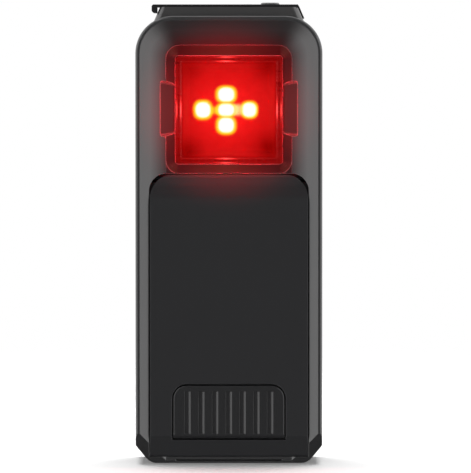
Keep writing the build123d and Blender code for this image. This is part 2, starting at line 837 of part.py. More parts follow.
# Tray that holds the battery against the bay and carries the main board on its back
with BuildPart() as battery_tray:
    with BuildSketch(front_plane(tray_back_depth)):
        box_outline(
            bay_half_width + tray_wall,
            bay_bottom - tray_wall,
            bay_top + tray_wall,
            bay_corner_radius,
        )
    extrude(amount=tray_back_depth - tray_front_depth)
    with BuildSketch(front_plane(tray_floor_depth)):
        box_outline(bay_half_width, bay_bottom, bay_top, bay_corner_radius)
    extrude(amount=tray_floor_depth - tray_front_depth, mode=Mode.SUBTRACT)
    with BuildSketch(front_plane(board_front_depth)):
        with Locations(*tray_screw_places):
            Circle(standoff_radius)
    extrude(amount=board_front_depth - tray_back_depth)
    with BuildSketch(front_plane(board_front_depth)):
        with Locations(*tray_screw_places):
            Circle(small_screw_radius + running_fit)
    extrude(amount=board_front_depth - board_screw_hole_depth, mode=Mode.SUBTRACT)
    with BuildSketch(front_plane(tray_back_depth)):
        with Locations((0, contact_height)):
            with GridLocations(contact_pitch, 0, contact_count, 1):
                Circle(contact_radius + fixed_gap)
    extrude(amount=tray_floor_thickness, mode=Mode.SUBTRACT)
battery_tray.part.label = "battery_tray"
export_step(battery_tray.part, "parts/battery_tray.step")

with BuildPart() as battery_pack:
    with BuildSketch(front_plane(battery_front_depth + battery_thickness)):
        box_outline(
            bay_half_width - battery_side_gap,
            bay_bottom + battery_side_gap,
            bay_top - battery_side_gap,
            bay_corner_radius,
        )
    extrude(amount=battery_thickness)
    fillet(battery_pack.edges().group_by(Axis.Y)[0], battery_edge_fillet)
battery_pack.part.label = "battery_pack"
export_step(battery_pack.part, "parts/battery_pack.step")

with BuildPart() as battery_contacts:
    with BuildSketch(front_plane(board_front_depth)):
        with Locations((0, contact_height)):
            with GridLocations(contact_pitch, 0, contact_count, 1):
                Circle(contact_radius)
    extrude(amount=board_front_depth - battery_front_depth - battery_thickness - running_fit)
battery_contacts.part.label = "battery_contacts"
export_step(battery_contacts.part, "parts/battery_contacts.step")

# Main board: wide below, with a narrower neck between the upper case bosses
with BuildPart() as main_board:
    with BuildSketch(front_plane(board_back_depth)):
        box_outline(board_half_width, board_bottom, board_shoulder_height, bay_corner_radius)
        with Locations((0, (board_shoulder_height + board_top) / 2)):
            Rectangle(board_neck_half_width * 2, board_top - board_shoulder_height)
        with Locations(*tray_screw_places, *post_screw_places):
            Circle(small_screw_radius + fixed_gap, mode=Mode.SUBTRACT)
    extrude(amount=board_thickness)
main_board.part.label = "main_board"
export_step(main_board.part, "parts/main_board.step")

with BuildPart() as board_screws:
    screw_set(
        tray_screw_places + post_screw_places,
        board_back_depth,
        small_screw_radius,
        small_screw_head_radius,
        small_screw_head_thickness,
        small_screw_length,
    )
board_screws.part.label = "board_screws"
export_step(board_screws.part, "parts/board_screws.step")

with BuildPart() as control_chips:
    with BuildSketch(front_plane(board_back_depth + chip_height)):
        with Locations((0, chip_low_height), (0, chip_high_height)):
            Rectangle(chip_width, chip_width)
    extrude(amount=chip_height)
control_chips.part.label = "control_chips"
export_step(control_chips.part, "parts/control_chips.step")

with BuildPart() as power_coil:
    with BuildSketch(front_plane(board_back_depth + coil_height)):
        with Locations((0, coil_place_height)):
            RectangleRounded(coil_width, coil_width, bay_corner_radius)
    extrude(amount=coil_height)
power_coil.part.label = "power_coil"
export_step(power_coil.part, "parts/power_coil.step")

with BuildPart() as board_link:
    with BuildSketch(front_plane(board_front_depth)):
        with Locations((0, link_place_height)):
            Rectangle(link_width, link_length)
    extrude(amount=board_front_depth - led_board_back_depth)
board_link.part.label = "board_link"
export_step(board_link.part, "parts/board_link.step")

# Battery cover: black panel with a rolled top edge on its pin and a window for the latch
with BuildPart() as battery_cover:
    with BuildSketch(Plane.YZ):
        cover_side_profile()
    extrude(amount=half_width, both=True)
    with BuildSketch(front_plane(housing_depth)):
        arch_outline(cover_half_width, cover_bottom, cover_top, cover_corner_radius)
    extrude(amount=housing_depth + cut_overrun, mode=Mode.INTERSECT)
    with BuildSketch(front_plane(housing_depth)):
        arch_outline(
            latch_half_width + latch_gap,
            latch_bottom - moving_gap,
            latch_top + latch_gap,
            latch_corner_radius + latch_gap,
        )
    extrude(amount=housing_depth + cut_overrun, mode=Mode.SUBTRACT)
    with BuildSketch(Plane.YZ):
        with Locations(at_depth(cover_pin_depth, cover_pin_height)):
            Circle(cover_pin_radius + running_fit)
    extrude(amount=half_width, both=True, mode=Mode.SUBTRACT)
    with BuildSketch(Plane.YZ):
        with Locations(at_depth(latch_pin_depth, latch_pin_height)):
            Circle(latch_pin_radius + running_fit)
    extrude(amount=latch_pin_half_length + fixed_gap, both=True, mode=Mode.SUBTRACT)
battery_cover.part.label = "battery_cover"
export_step(battery_cover.part, "parts/battery_cover.step")

with BuildPart() as cover_pin:
    with BuildSketch(Plane.YZ):
        with Locations(at_depth(cover_pin_depth, cover_pin_height)):
            Circle(cover_pin_radius)
    extrude(amount=cover_pin_half_length, both=True)
cover_pin.part.label = "cover_pin"
export_step(cover_pin.part, "parts/cover_pin.step")

with BuildPart() as cover_seal:
    with BuildSketch(front_plane(seal_floor_depth + seal_depth)):
        box_outline(
            seal_outer_half_width - running_fit,
            seal_outer_bottom + running_fit,
            seal_outer_top - running_fit,
            seal_corner_radius,
        )
        offset(amount=-seal_width + running_fit * 2, mode=Mode.SUBTRACT)
    extrude(amount=seal_floor_depth + seal_depth - cover_back_depth - running_fit)
cover_seal.part.label = "cover_seal"
export_step(cover_seal.part, "parts/cover_seal.step")

# Release latch: ribbed arch-topped pad that rocks inwards on the pin along its lower edge
with BuildPart() as cover_latch:
    with BuildSketch(front_plane(cover_front_depth + latch_thickness)):
        arch_outline(latch_half_width, latch_pin_height, latch_top, latch_corner_radius)
    extrude(amount=latch_thickness)
    fillet(cover_latch.edges().group_by(Axis.Y)[0].filter_by(Axis.X, reverse=True), latch_edge_fillet)
    with BuildSketch(Plane.YZ):
        with Locations(at_depth(latch_pin_depth, latch_pin_height)):
            Circle(latch_thickness / 2)
    extrude(amount=latch_half_width, both=True)
    # Grooves between the ribs: flat floor, upright left side and slanted right side
    with BuildSketch(Plane.XY.offset(rib_groove_bottom)):
        with GridLocations(rib_pitch, 0, rib_count, 1):
            Polygon(
                (-rib_groove_width / 2, front_y + cover_front_depth),
                (-rib_groove_width / 2, front_y + cover_front_depth + rib_groove_depth),
                (rib_groove_width / 2 - rib_flank_width, front_y + cover_front_depth + rib_groove_depth),
                (rib_groove_width / 2, front_y + cover_front_depth),
                align=None,
            )
    extrude(amount=rib_groove_top - rib_groove_bottom, mode=Mode.SUBTRACT)
    with BuildSketch(Plane.YZ):
        with Locations(at_depth(latch_pin_depth, latch_pin_height)):
            Circle(latch_pin_radius + running_fit)
    extrude(amount=half_width, both=True, mode=Mode.SUBTRACT)
cover_latch.part.label = "cover_latch"
export_step(cover_latch.part, "parts/cover_latch.step")

with BuildPart() as latch_pin:
    with BuildSketch(Plane.YZ):
        with Locations(at_depth(latch_pin_depth, latch_pin_height)):
            Circle(latch_pin_radius)
    extrude(amount=latch_pin_half_length, both=True)
latch_pin.part.label = "latch_pin"
export_step(latch_pin.part, "parts/latch_pin.step")

# Top plinth: sloped block with a neck through the housing, a port slot and the button shaft
with BuildPart() as top_plinth:
    with BuildSketch(front_plane(plinth_back_depth)):
        with BuildLine():
            Polyline(
                (-plinth_base_half_width, plinth_bottom),
                (plinth_base_half_width, plinth_bottom),
                (plinth_top_half_width, plinth_top),
                (-plinth_top_half_width, plinth_top),
                close=True,
            )
        make_face()
    extrude(amount=plinth_back_depth - plinth_front_depth)
    fillet(
        top_plinth.edges().filter_by(Axis.X, reverse=True).filter_by(Axis.Y, reverse=True),
        plinth_corner_fillet,
    )
    with BuildSketch(front_plane(housing_depth)):
        body_outline(-running_fit)
    extrude(amount=housing_depth, mode=Mode.SUBTRACT)
    with BuildSketch(Plane.XY.offset(body_height - wall)):
        with Locations((0, front_y + (neck_front_depth + neck_back_depth) / 2)):
            Rectangle(neck_half_width * 2, neck_back_depth - neck_front_depth)
    extrude(amount=wall + running_fit)
    with BuildSketch(Plane.XY.offset(body_height - wall)):
        with Locations((port_centre_x, port_centre_y)):
            SlotOverall(port_shell_width + fixed_gap * 2, port_shell_thickness + fixed_gap * 2)
        with Locations((mode_button_x, port_centre_y)):
            Circle(mode_button_radius + moving_gap)
    extrude(amount=plinth_top - body_height + wall, mode=Mode.SUBTRACT)
    with BuildSketch(Plane.XY.offset(body_height - wall)):
        with Locations((mode_button_x, port_centre_y)):
            Circle(mode_button_flange_radius + moving_gap)
    extrude(amount=mode_button_flange_top + fixed_gap - body_height + wall, mode=Mode.SUBTRACT)
top_plinth.part.label = "top_plinth"
export_step(top_plinth.part, "parts/top_plinth.step")

with BuildPart() as port_shell:
    with BuildSketch(Plane.XY.offset(port_shell_bottom)):
        with Locations((port_centre_x, port_centre_y)):
            SlotOverall(port_shell_width, port_shell_thickness)
    extrude(amount=port_mouth_height - port_shell_bottom)
    with BuildSketch(Plane.XY.offset(port_mouth_height)):
        with Locations((port_centre_x, port_centre_y)):
            SlotOverall(
                port_shell_width - port_shell_wall * 2,
                port_shell_thickness - port_shell_wall * 2,
            )
    extrude(amount=-port_tongue_length - port_shell_wall * 2, mode=Mode.SUBTRACT)
port_shell.part.label = "port_shell"
export_step(port_shell.part, "parts/port_shell.step")

with BuildPart() as port_tongue:
    with BuildSketch(Plane.XY.offset(port_mouth_height - port_tongue_length - port_shell_wall * 2)):
        with Locations((port_centre_x, port_centre_y)):
            Rectangle(port_tongue_width, port_tongue_thickness)
    extrude(amount=port_tongue_length)
port_tongue.part.label = "port_tongue"
export_step(port_tongue.part, "parts/port_tongue.step")

# Port cover: thin flap with a finger lip on the left, hinged where it meets its fixed strap
with BuildPart() as port_cover:
    with BuildSketch(front_plane(plinth_back_depth - flap_margin)) as flap_profile:
        with BuildLine():
            Polyline(
                (flap_hinge_x, flap_bottom),
                (flap_hinge_x, flap_top),
                (-flap_lip_outer_x, flap_top),
                (-flap_lip_outer_x, flap_lip_bottom),
                (-flap_lip_outer_x + flap_lip_width, flap_lip_bottom),
                (-flap_lip_outer_x + flap_lip_width, flap_bottom),
                close=True,
            )
        make_face()
        fillet(flap_profile.vertices().group_by(Axis.X)[0], flap_lip_fillet)
        with Locations((flap_hinge_x, flap_axis_height)):
            Circle(flap_thickness / 2)
    extrude(amount=plinth_back_depth - plinth_front_depth - flap_margin * 2)
    with BuildSketch(Plane.XY.offset(flap_bottom)):
        with Locations((port_centre_x, port_centre_y)):
            SlotOverall(
                port_shell_width - (port_shell_wall + flap_plug_side_gap) * 2,
                port_shell_thickness - (port_shell_wall + flap_plug_side_gap) * 2,
            )
    extrude(amount=-flap_plug_depth)
port_cover.part.label = "port_cover"
export_step(port_cover.part, "parts/port_cover.step")

with BuildPart() as port_cover_strap:
    with BuildSketch(front_plane(plinth_back_depth - flap_margin)):
        with BuildLine():
            Polyline(
                (strap_start_x, plinth_top),
                (strap_end_x, plinth_top),
                (strap_end_x - strap_skirt_thickness, flap_top),
                (strap_start_x, flap_top),
                close=True,
            )
        make_face()
    extrude(amount=plinth_back_depth - plinth_front_depth - flap_margin * 2)
    # Skirt down the slanted end of the plinth, between its round corners
    with BuildSketch(front_plane(plinth_back_depth - plinth_corner_fillet)):
        with BuildLine():
            Polyline(
                (plinth_top_half_width, plinth_top),
                (plinth_top_half_width + strap_skirt_shift, plinth_top - strap_skirt_drop),
                (strap_end_x + strap_skirt_shift, plinth_top - strap_skirt_drop),
                (strap_end_x, plinth_top),
                close=True,
            )
        make_face()
    extrude(amount=plinth_back_depth - plinth_front_depth - plinth_corner_fillet * 2)
    with BuildSketch(Plane.XY.offset(plinth_top)):
        with Locations((mode_button_x, port_centre_y)):
            Circle(mode_button_radius + moving_gap)
    extrude(amount=flap_top - plinth_top, mode=Mode.SUBTRACT)
port_cover_strap.part.label = "port_cover_strap"
export_step(port_cover_strap.part, "parts/port_cover_strap.step")

# Mode button: domed cap, retaining flange and stem down to the switch plunger
with BuildPart() as mode_button:
    with BuildSketch(Plane.XY.offset(mode_button_flange_top)):
        with Locations((mode_button_x, port_centre_y)):
            Circle(mode_button_radius)
    extrude(amount=mode_button_top - mode_button_flange_top)
    fillet(mode_button.edges().group_by(Axis.Z)[-1], mode_button_dome_fillet)
    with BuildSketch(Plane.XY.offset(mode_button_flange_top)):
        with Locations((mode_button_x, port_centre_y)):
            Circle(mode_button_flange_radius)
    extrude(amount=-mode_button_flange_thickness)
    with BuildSketch(Plane.XY.offset(mode_button_flange_top)):
        with Locations((mode_button_x, port_centre_y)):
            Circle(stem_radius)
    extrude(amount=mode_switch_top + plunger_reach - mode_button_flange_top)
mode_button.part.label = "mode_button"
export_step(mode_button.part, "parts/mode_button.step")

with BuildPart() as mode_button_boot:
    with BuildSketch(Plane.XY.offset(mode_boot_bottom)):
        with Locations((mode_button_x, port_centre_y)):
            Circle(mode_button_flange_radius + moving_gap - running_fit)
            Circle(stem_radius + fixed_gap, mode=Mode.SUBTRACT)
    extrude(amount=mode_boot_thickness)
mode_button_boot.part.label = "mode_button_boot"
export_step(mode_button_boot.part, "parts/mode_button_boot.step")

with BuildPart() as mode_switch:
    with BuildSketch(Plane.XY.offset(mode_switch_top - switch_length)):
        with Locations((mode_button_x, port_centre_y)):
            Rectangle(switch_width, switch_depth)
    extrude(amount=switch_length)
    with BuildSketch(Plane.XY.offset(mode_switch_top)):
        with Locations((mode_button_x, port_centre_y)):
            Circle(plunger_radius + running_fit)
    extrude(amount=plunger_reach - plunger_length - mode_button_travel - fixed_gap, mode=Mode.SUBTRACT)
mode_switch.part.label = "mode_switch"
export_step(mode_switch.part, "parts/mode_switch.step")

with BuildPart() as mode_switch_plunger:
    with BuildSketch(Plane.XY.offset(mode_switch_top + plunger_reach)):
        with Locations((mode_button_x, port_centre_y)):
            Circle(plunger_radius)
    extrude(amount=-plunger_length)
mode_switch_plunger.part.label = "mode_switch_plunger"
export_step(mode_switch_plunger.part, "parts/mode_switch_plunger.step")

# Side key: disc flush with the wall, flange behind the wall, stem to its own switch
with BuildPart() as side_button:
    with BuildSketch(Plane.YZ.offset(-half_width)):
        with Locations(at_depth(port_centre_depth, side_button_height)):
            Circle(side_button_radius)
    extrude(amount=wall + fixed_gap)
    fillet(side_button.edges().group_by(Axis.X)[0], side_button_fillet)
    with BuildSketch(Plane.YZ.offset(-wall_inside_x + fixed_gap)):
        with Locations(at_depth(port_centre_depth, side_button_height)):
            Circle(side_flange_radius)
    extrude(amount=side_flange_thickness)
    with BuildSketch(Plane.YZ.offset(-side_switch_face_x - plunger_reach)):
        with Locations(at_depth(port_centre_depth, side_button_height)):
            Circle(stem_radius)
    extrude(amount=side_switch_face_x + plunger_reach - wall_inside_x)
side_button.part.label = "side_button"
export_step(side_button.part, "parts/side_button.step")

with BuildPart() as side_button_boot:
    with BuildSketch(Plane.YZ.offset(-wall_inside_x)):
        with Locations(at_depth(port_centre_depth, side_button_height)):
            Circle(side_boot_outer_radius)
    extrude(amount=side_boot_length)
    with BuildSketch(Plane.YZ.offset(-wall_inside_x)):
        with Locations(at_depth(port_centre_depth, side_button_height)):
            Circle(side_boot_outer_radius - side_boot_wall)
    extrude(amount=side_boot_length - side_boot_face, mode=Mode.SUBTRACT)
    with BuildSketch(Plane.YZ.offset(-wall_inside_x)):
        with Locations(at_depth(port_centre_depth, side_button_height)):
            Circle(stem_radius + fixed_gap)
    extrude(amount=side_boot_length, mode=Mode.SUBTRACT)
side_button_boot.part.label = "side_button_boot"
export_step(side_button_boot.part, "parts/side_button_boot.step")

with BuildPart() as side_switch:
    with BuildSketch(Plane.YZ.offset(-side_switch_face_x)):
        with Locations(at_depth(port_centre_depth, side_button_height)):
            Rectangle(switch_depth, switch_width)
    extrude(amount=switch_length)
    with BuildSketch(Plane.YZ.offset(-side_switch_face_x)):
        with Locations(at_depth(port_centre_depth, side_button_height)):
            Circle(plunger_radius + running_fit)
    extrude(amount=plunger_length - plunger_reach + side_button_travel + fixed_gap, mode=Mode.SUBTRACT)
side_switch.part.label = "side_switch"
export_step(side_switch.part, "parts/side_switch.step")

with BuildPart() as side_switch_plunger:
    with BuildSketch(Plane.YZ.offset(-side_switch_face_x - plunger_reach)):
        with Locations(at_depth(port_centre_depth, side_button_height)):
            Circle(plunger_radius)
    extrude(amount=plunger_length)
side_switch_plunger.part.label = "side_switch_plunger"
export_step(side_switch_plunger.part, "parts/side_switch_plunger.step")

# Status window: clear bar through the left wall, lit by a small emitter on the main board
with BuildPart() as status_window:
    with BuildSketch(Plane.YZ.offset(-half_width - window_proud)):
        with Locations(at_depth(port_centre_depth, window_height)):
            SlotOverall(window_length, window_width, rotation=90)
    extrude(amount=half_width + window_proud - window_inner_x)
    fillet(status_window.edges().group_by(Axis.X)[0], window_proud)
status_window.part.label = "status_window"
export_step(status_window.part, "parts/status_window.step")

with BuildPart() as status_led:
    with BuildSketch(front_plane(board_front_depth)):
        with Locations((-window_inner_x + status_led_gap + status_led_width / 2, window_height)):
            Rectangle(status_led_width, status_led_length)
    extrude(amount=status_led_thickness)
status_led.part.label = "status_led"
export_step(status_led.part, "parts/status_led.step")

# Quarter-turn mount: flange screwed to the rear cover, neck, and a head with two wings
with BuildPart() as quarter_turn_mount:
    with BuildSketch(front_plane(mount_seat_depth)):
        with Locations((0, mount_centre_height)):
            Circle(mount_flange_radius)
            with PolarLocations(mount_screw_offset, mount_screw_count, start_angle=45):
                Circle(small_screw_radius + fixed_gap, mode=Mode.SUBTRACT)
    extrude(amount=mount_flange_thickness)
    with BuildSketch(front_plane(body_depth + mount_height)):
        with Locations((0, mount_centre_height)):
            Circle(mount_neck_radius)
    extrude(amount=mount_neck_length + mount_wing_thickness)
    with BuildSketch(front_plane(body_depth + mount_height)):
        with Locations((0, mount_centre_height)):
            Circle(mount_wing_radius)
            Rectangle(mount_wing_radius * 2, mount_wing_half_width * 2, mode=Mode.INTERSECT)
    extrude(amount=mount_wing_thickness)
    with BuildSketch(front_plane(body_depth + mount_height)):
        with Locations((0, mount_centre_height)):
            Circle(mount_dish_radius)
    extrude(amount=mount_dish_depth, mode=Mode.SUBTRACT)
quarter_turn_mount.part.label = "quarter_turn_mount"
export_step(quarter_turn_mount.part, "parts/quarter_turn_mount.step")

with BuildPart() as mount_screws:
    with BuildSketch(front_plane(mount_seat_depth + small_screw_head_thickness)):
        with Locations((0, mount_centre_height)):
            with PolarLocations(mount_screw_offset, mount_screw_count, start_angle=45):
                Circle(small_screw_head_radius)
    extrude(amount=small_screw_head_thickness)
    with BuildSketch(front_plane(mount_seat_depth)):
        with Locations((0, mount_centre_height)):
            with PolarLocations(mount_screw_offset, mount_screw_count, start_angle=45):
                Circle(small_screw_radius)
    extrude(amount=small_screw_length)
mount_screws.part.label = "mount_screws"
export_step(mount_screws.part, "parts/mount_screws.step")
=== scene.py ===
import json
import math

import bpy
import numpy as np
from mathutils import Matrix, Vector


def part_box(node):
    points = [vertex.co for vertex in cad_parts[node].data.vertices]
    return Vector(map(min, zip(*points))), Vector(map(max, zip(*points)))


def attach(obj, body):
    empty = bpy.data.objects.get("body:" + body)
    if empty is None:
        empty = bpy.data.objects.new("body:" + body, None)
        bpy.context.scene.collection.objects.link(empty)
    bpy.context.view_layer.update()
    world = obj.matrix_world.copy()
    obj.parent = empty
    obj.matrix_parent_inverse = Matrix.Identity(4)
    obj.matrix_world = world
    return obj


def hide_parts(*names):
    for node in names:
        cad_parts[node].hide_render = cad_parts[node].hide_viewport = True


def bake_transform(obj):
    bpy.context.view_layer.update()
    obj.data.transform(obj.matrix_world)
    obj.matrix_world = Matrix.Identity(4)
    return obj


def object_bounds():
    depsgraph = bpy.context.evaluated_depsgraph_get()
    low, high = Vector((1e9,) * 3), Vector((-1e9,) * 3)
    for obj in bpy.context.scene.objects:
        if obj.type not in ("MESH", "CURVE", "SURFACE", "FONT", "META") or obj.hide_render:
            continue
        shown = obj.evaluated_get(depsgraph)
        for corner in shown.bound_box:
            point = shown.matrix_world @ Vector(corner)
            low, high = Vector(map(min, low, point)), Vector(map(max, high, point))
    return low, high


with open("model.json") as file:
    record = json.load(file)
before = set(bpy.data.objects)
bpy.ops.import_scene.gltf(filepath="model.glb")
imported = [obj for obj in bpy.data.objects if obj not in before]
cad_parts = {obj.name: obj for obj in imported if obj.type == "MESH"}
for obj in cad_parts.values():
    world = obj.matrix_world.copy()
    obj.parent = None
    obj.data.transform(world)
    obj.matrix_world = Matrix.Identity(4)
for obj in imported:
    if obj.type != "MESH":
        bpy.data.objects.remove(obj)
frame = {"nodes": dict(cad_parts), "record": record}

# Bicycle rear light: its finishes, the lit lens and the studio. Metres, -Y is the lit front.
cad_box = [list(corner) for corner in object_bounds()]
nodes = frame["nodes"]
MM = 0.001

# The photograph's frame, in its own pixels, and where the light stands in it
PHOTO_WIDTH = 471
PHOTO_HEIGHT = 473
MIDDLE_COLUMN = 228.9
GROUND_ROW = 464.5
PIXEL = 0.2139 * MM
CAMERA_DISTANCE = 0.9
CAMERA_ELEVATION = math.radians(2.0)
SENSOR = 36.0

# How moulded plastic wears and scatters: the turn of an edge at which its rubbed wear and painted edge
# highlight start, how fast they grow, the size of a cloud of tone in millimetres, how far the gloss wanders
# and how strong the grain is
WEAR_AND_HIGHLIGHT_START = 0.03
WEAR_AND_HIGHLIGHT_GAIN = 5.0
CLOUD_SIZE = 11.0
GLOSS_SWING = 0.07
GRAIN_STRENGTH = 0.8
BEVEL_SAMPLES = 6


# Shader building

def blank(name):
    """New material with a Principled shader wired to its output."""
    material = bpy.data.materials.new(name)
    material.use_nodes = True
    tree = material.node_tree
    tree.nodes.clear()
    output = tree.nodes.new("ShaderNodeOutputMaterial")
    shader = tree.nodes.new("ShaderNodeBsdfPrincipled")
    tree.links.new(shader.outputs["BSDF"], output.inputs["Surface"])
    return material, tree, shader, output


def put(tree, kind, inputs=(), **settings):
    """New node with its settings, and its inputs as numbers or as links from other sockets."""
    made = tree.nodes.new(kind)
    for name, value in settings.items():
        setattr(made, name, value)
    for name, value in dict(inputs).items():
        if isinstance(value, bpy.types.NodeSocket):
            tree.links.new(value, made.inputs[name])
        else:
            made.inputs[name].default_value = value
    return made


def math_node(tree, operation, first, second=0.0, clamp=False):
    """Value of a Math node on two numbers or sockets."""
    made = put(tree, "ShaderNodeMath", {0: first, 1: second}, operation=operation, use_clamp=clamp)
    return made.outputs[0]


def blend_colour(tree, share, first, second):
    """Colour between two colours or sockets by a share."""
    made = tree.nodes.new("ShaderNodeMix")
    made.data_type = "RGBA"
    for socket, value in ((made.inputs[0], share), (made.inputs[6], first), (made.inputs[7], second)):
        if isinstance(value, bpy.types.NodeSocket):
            tree.links.new(value, socket)
        else:
            socket.default_value = value
    return made.outputs[2]


def spread(tree, value, low, high):
    """Value from 0 to 1 spread over low to high."""
    made = put(tree, "ShaderNodeMapRange", {"Value": value, "To Min": low, "To Max": high})
    return made.outputs["Result"]


def smooth_step(tree, value, start, end, low=0.0, high=1.0):
    """Smooth step from low to high while a value runs from the start to the end."""
    made = put(tree, "ShaderNodeMapRange", {"Value": value, "From Min": start, "From Max": end,
                                            "To Min": low, "To Max": high}, interpolation_type="SMOOTHSTEP")
    return made.outputs["Result"]


def object_place(tree):
    """Place on the object itself, so that a pattern stays with its piece."""
    return put(tree, "ShaderNodeTexCoord").outputs["Object"]


def noise(tree, place, size, detail, roughness=0.5):
    """Noise from 0 to 1 over a place, with features of a size in millimetres."""
    made = put(tree, "ShaderNodeTexNoise", {"Vector": place, "Scale": 1 / (size * MM), "Detail": detail,
                                            "Roughness": roughness})
    return made.outputs["Fac"]


def rounded_normal(tree, radius):
    """Normal of the surface as if its edges were rounded by a radius in millimetres."""
    return put(tree, "ShaderNodeBevel", {"Radius": radius * MM}, samples=BEVEL_SAMPLES).outputs["Normal"]


def set_bump(tree, shader, height, depth, strength, normal=None):
    """Bump by a height field, its depth in millimetres, over the surface's own normal or one given."""
    inputs = {"Height": height, "Distance": depth * MM, "Strength": strength}
    if normal is not None:
        inputs["Normal"] = normal
    tree.links.new(put(tree, "ShaderNodeBump", inputs).outputs["Normal"], shader.inputs["Normal"])


def linear(red, green, blue):
    """Linear colour of a screen colour from 0 to 255."""
    share = np.array([red, green, blue]) / 255
    low = share / 12.92
    high = ((share + 0.055) / 1.055) ** 2.4
    return (*np.where(share > 0.04045, high, low).tolist(), 1.0)


def scaled(colour, gain):
    """Colour times a gain."""
    return (colour[0] * gain, colour[1] * gain, colour[2] * gain, 1.0)


def recess_share(tree, reach, start, depth):
    """Share of the recess at each point: 0 away from the lens, and within a reach of it from 0 at the
    start to 1 at a depth behind that."""
    split = put(tree, "ShaderNodeSeparateXYZ", {0: object_place(tree)})
    share = put(tree, "ShaderNodeMapRange", {"Value": split.outputs["Y"], "From Min": start,
                                             "From Max": start + depth}).outputs["Result"]
    for axis, centre, half in (("X", LENS_CENTRE.x, LENS_HALF_X), ("Z", LENS_CENTRE.z, LENS_HALF_Z)):
        away = math_node(tree, "ABSOLUTE", math_node(tree, "SUBTRACT", split.outputs[axis], centre))
        share = math_node(tree, "MULTIPLY", share, math_node(tree, "LESS_THAN", away, half + reach))
    return share


def moulded(name, colour, roughness, shine, grain=0.22, relief=0.012, edge=0.16, rub_and_highlight=1.35, cloud=0.06,
            recess=False):
    """Moulded plastic or rubber. Grain, relief and edge are in millimetres: a spark-eroded grain drives
    bump and roughness, a slow cloud drives the tone, and edges are rounded and made lighter, partly as
    rubbed wear and partly as a painted highlight. A shell with the lens recess turns matt towards the
    recess and carries a painted highlight along its rim."""
    material, tree, shader, _ = blank(name)
    place = object_place(tree)
    fine = noise(tree, place, grain, 3.0, 0.6)
    slow = noise(tree, place, CLOUD_SIZE, 2.0)
    rounded = rounded_normal(tree, edge)
    flat = put(tree, "ShaderNodeNewGeometry").outputs["True Normal"]
    agree = put(tree, "ShaderNodeVectorMath", {0: rounded, 1: flat}, operation="DOT_PRODUCT").outputs["Value"]
    turned = math_node(tree, "SQRT", math_node(tree, "SUBTRACT", 1.0, agree, clamp=True))
    past = math_node(tree, "SUBTRACT", turned, WEAR_AND_HIGHLIGHT_START)
    wear_and_highlight = math_node(tree, "MULTIPLY", past, WEAR_AND_HIGHLIGHT_GAIN, clamp=True)
    tone = blend_colour(tree, slow, scaled(colour, 1 - cloud), scaled(colour, 1 + cloud))
    # Edges lighter: partly rubbed wear, partly a painted highlight
    tone = blend_colour(tree, wear_and_highlight, tone, scaled(colour, rub_and_highlight))
    shader.inputs["Specular IOR Level"].default_value = shine
    if recess:
        # Painted highlight along the rim of the lens recess
        rim_highlight = math_node(tree, "MULTIPLY", wear_and_highlight, recess_share(tree, RIM_REACH, RIM_FRONT, RIM_DEPTH))
        tone = blend_colour(tree, rim_highlight, tone, scaled(colour, rub_and_highlight * RIM_HIGHLIGHT_LIFT))
        inside = recess_share(tree, SLOPE_REACH, SLOPE_FRONT, SLOPE_DEPTH)
        tree.links.new(spread(tree, inside, shine, shine * RECESS_SHINE), shader.inputs["Specular IOR Level"])
    tree.links.new(tone, shader.inputs["Base Color"])
    gloss = spread(tree, fine, roughness - GLOSS_SWING, roughness + GLOSS_SWING)
    tree.links.new(gloss, shader.inputs["Roughness"])
    set_bump(tree, shader, fine, relief, GRAIN_STRENGTH, rounded)
    return material


def metal(name, colour, roughness, streak=0.35):
    """Turned or rolled metal: fine streaks, their width in millimetres, vary its gloss and tone."""
    material, tree, shader, _ = blank(name)
    stretch = (1.0, 1.0, 12.0)
    dark, light = 0.88, 1.08
    swing = 0.08
    drawn = put(tree, "ShaderNodeMapping", {"Vector": object_place(tree), "Scale": stretch})
    fine = noise(tree, drawn.outputs["Vector"], streak, 3.0)
    tree.links.new(blend_colour(tree, fine, scaled(colour, dark), scaled(colour, light)),
                   shader.inputs["Base Color"])
    tree.links.new(spread(tree, fine, roughness - swing, roughness + swing), shader.inputs["Roughness"])
    set_bump(tree, shader, fine, 0.004, 0.6, rounded_normal(tree, 0.08))
    shader.inputs["Metallic"].default_value = 1.0
    return material


# Meshes from grids

def sheet_mesh(name, points, closed_u, closed_v, ends=(), values=None):
    """Mesh of a grid of points, rows by columns by 3, joined into quads. A closed way joins its last line
    to its first. Ends are closing points, one before the first row and one after the last, as fans.
    Values are named lists with a number for each point."""
    rows, columns = points.shape[:2]
    index = np.arange(rows * columns).reshape(rows, columns)
    upper = np.roll(index, -1, axis=0) if closed_u else index[1:]
    lower = index if closed_u else index[:-1]
    if closed_v:
        quads = [lower, np.roll(lower, -1, axis=1), np.roll(upper, -1, axis=1), upper]
    else:
        quads = [lower[:, :-1], lower[:, 1:], upper[:, 1:], upper[:, :-1]]
    faces = np.stack(quads, axis=-1).reshape(-1, 4).tolist()
    corners = points.reshape(-1, 3).tolist()
    for row, end in zip((0, rows - 1), ends):
        ring = index[row]
        turned = np.roll(ring, -1)
        pair = (turned, ring) if row == 0 else (ring, turned)
        faces += [[a, b, len(corners)] for a, b in zip(pair[0].tolist(), pair[1].tolist())]
        corners.append(list(end))
    mesh = bpy.data.meshes.new(name)
    mesh.from_pydata(corners, [], faces)
    for label, numbers in (values or {}).items():
        layer = mesh.attributes.new(label, "FLOAT", "POINT")
        padded = np.zeros(len(corners), np.float32)
        padded[: numbers.size] = numbers.reshape(-1)
        layer.data.foreach_set("value", padded)
    mesh.polygons.foreach_set("use_smooth", np.ones(len(mesh.polygons), bool))
    mesh.update()
    return mesh


def piece(name, mesh, material, body, *replaced, slot=None):
    """Object of a mesh that rides on a body when one is given, and that stands for the CAD nodes named,
    which it hides."""
    made = bpy.data.objects.new(name, mesh)
    bpy.context.scene.collection.objects.link(made)
    mesh.materials.append(material)
    if body:
        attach(made, body)
    if replaced:
        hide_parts(*replaced)
    return made


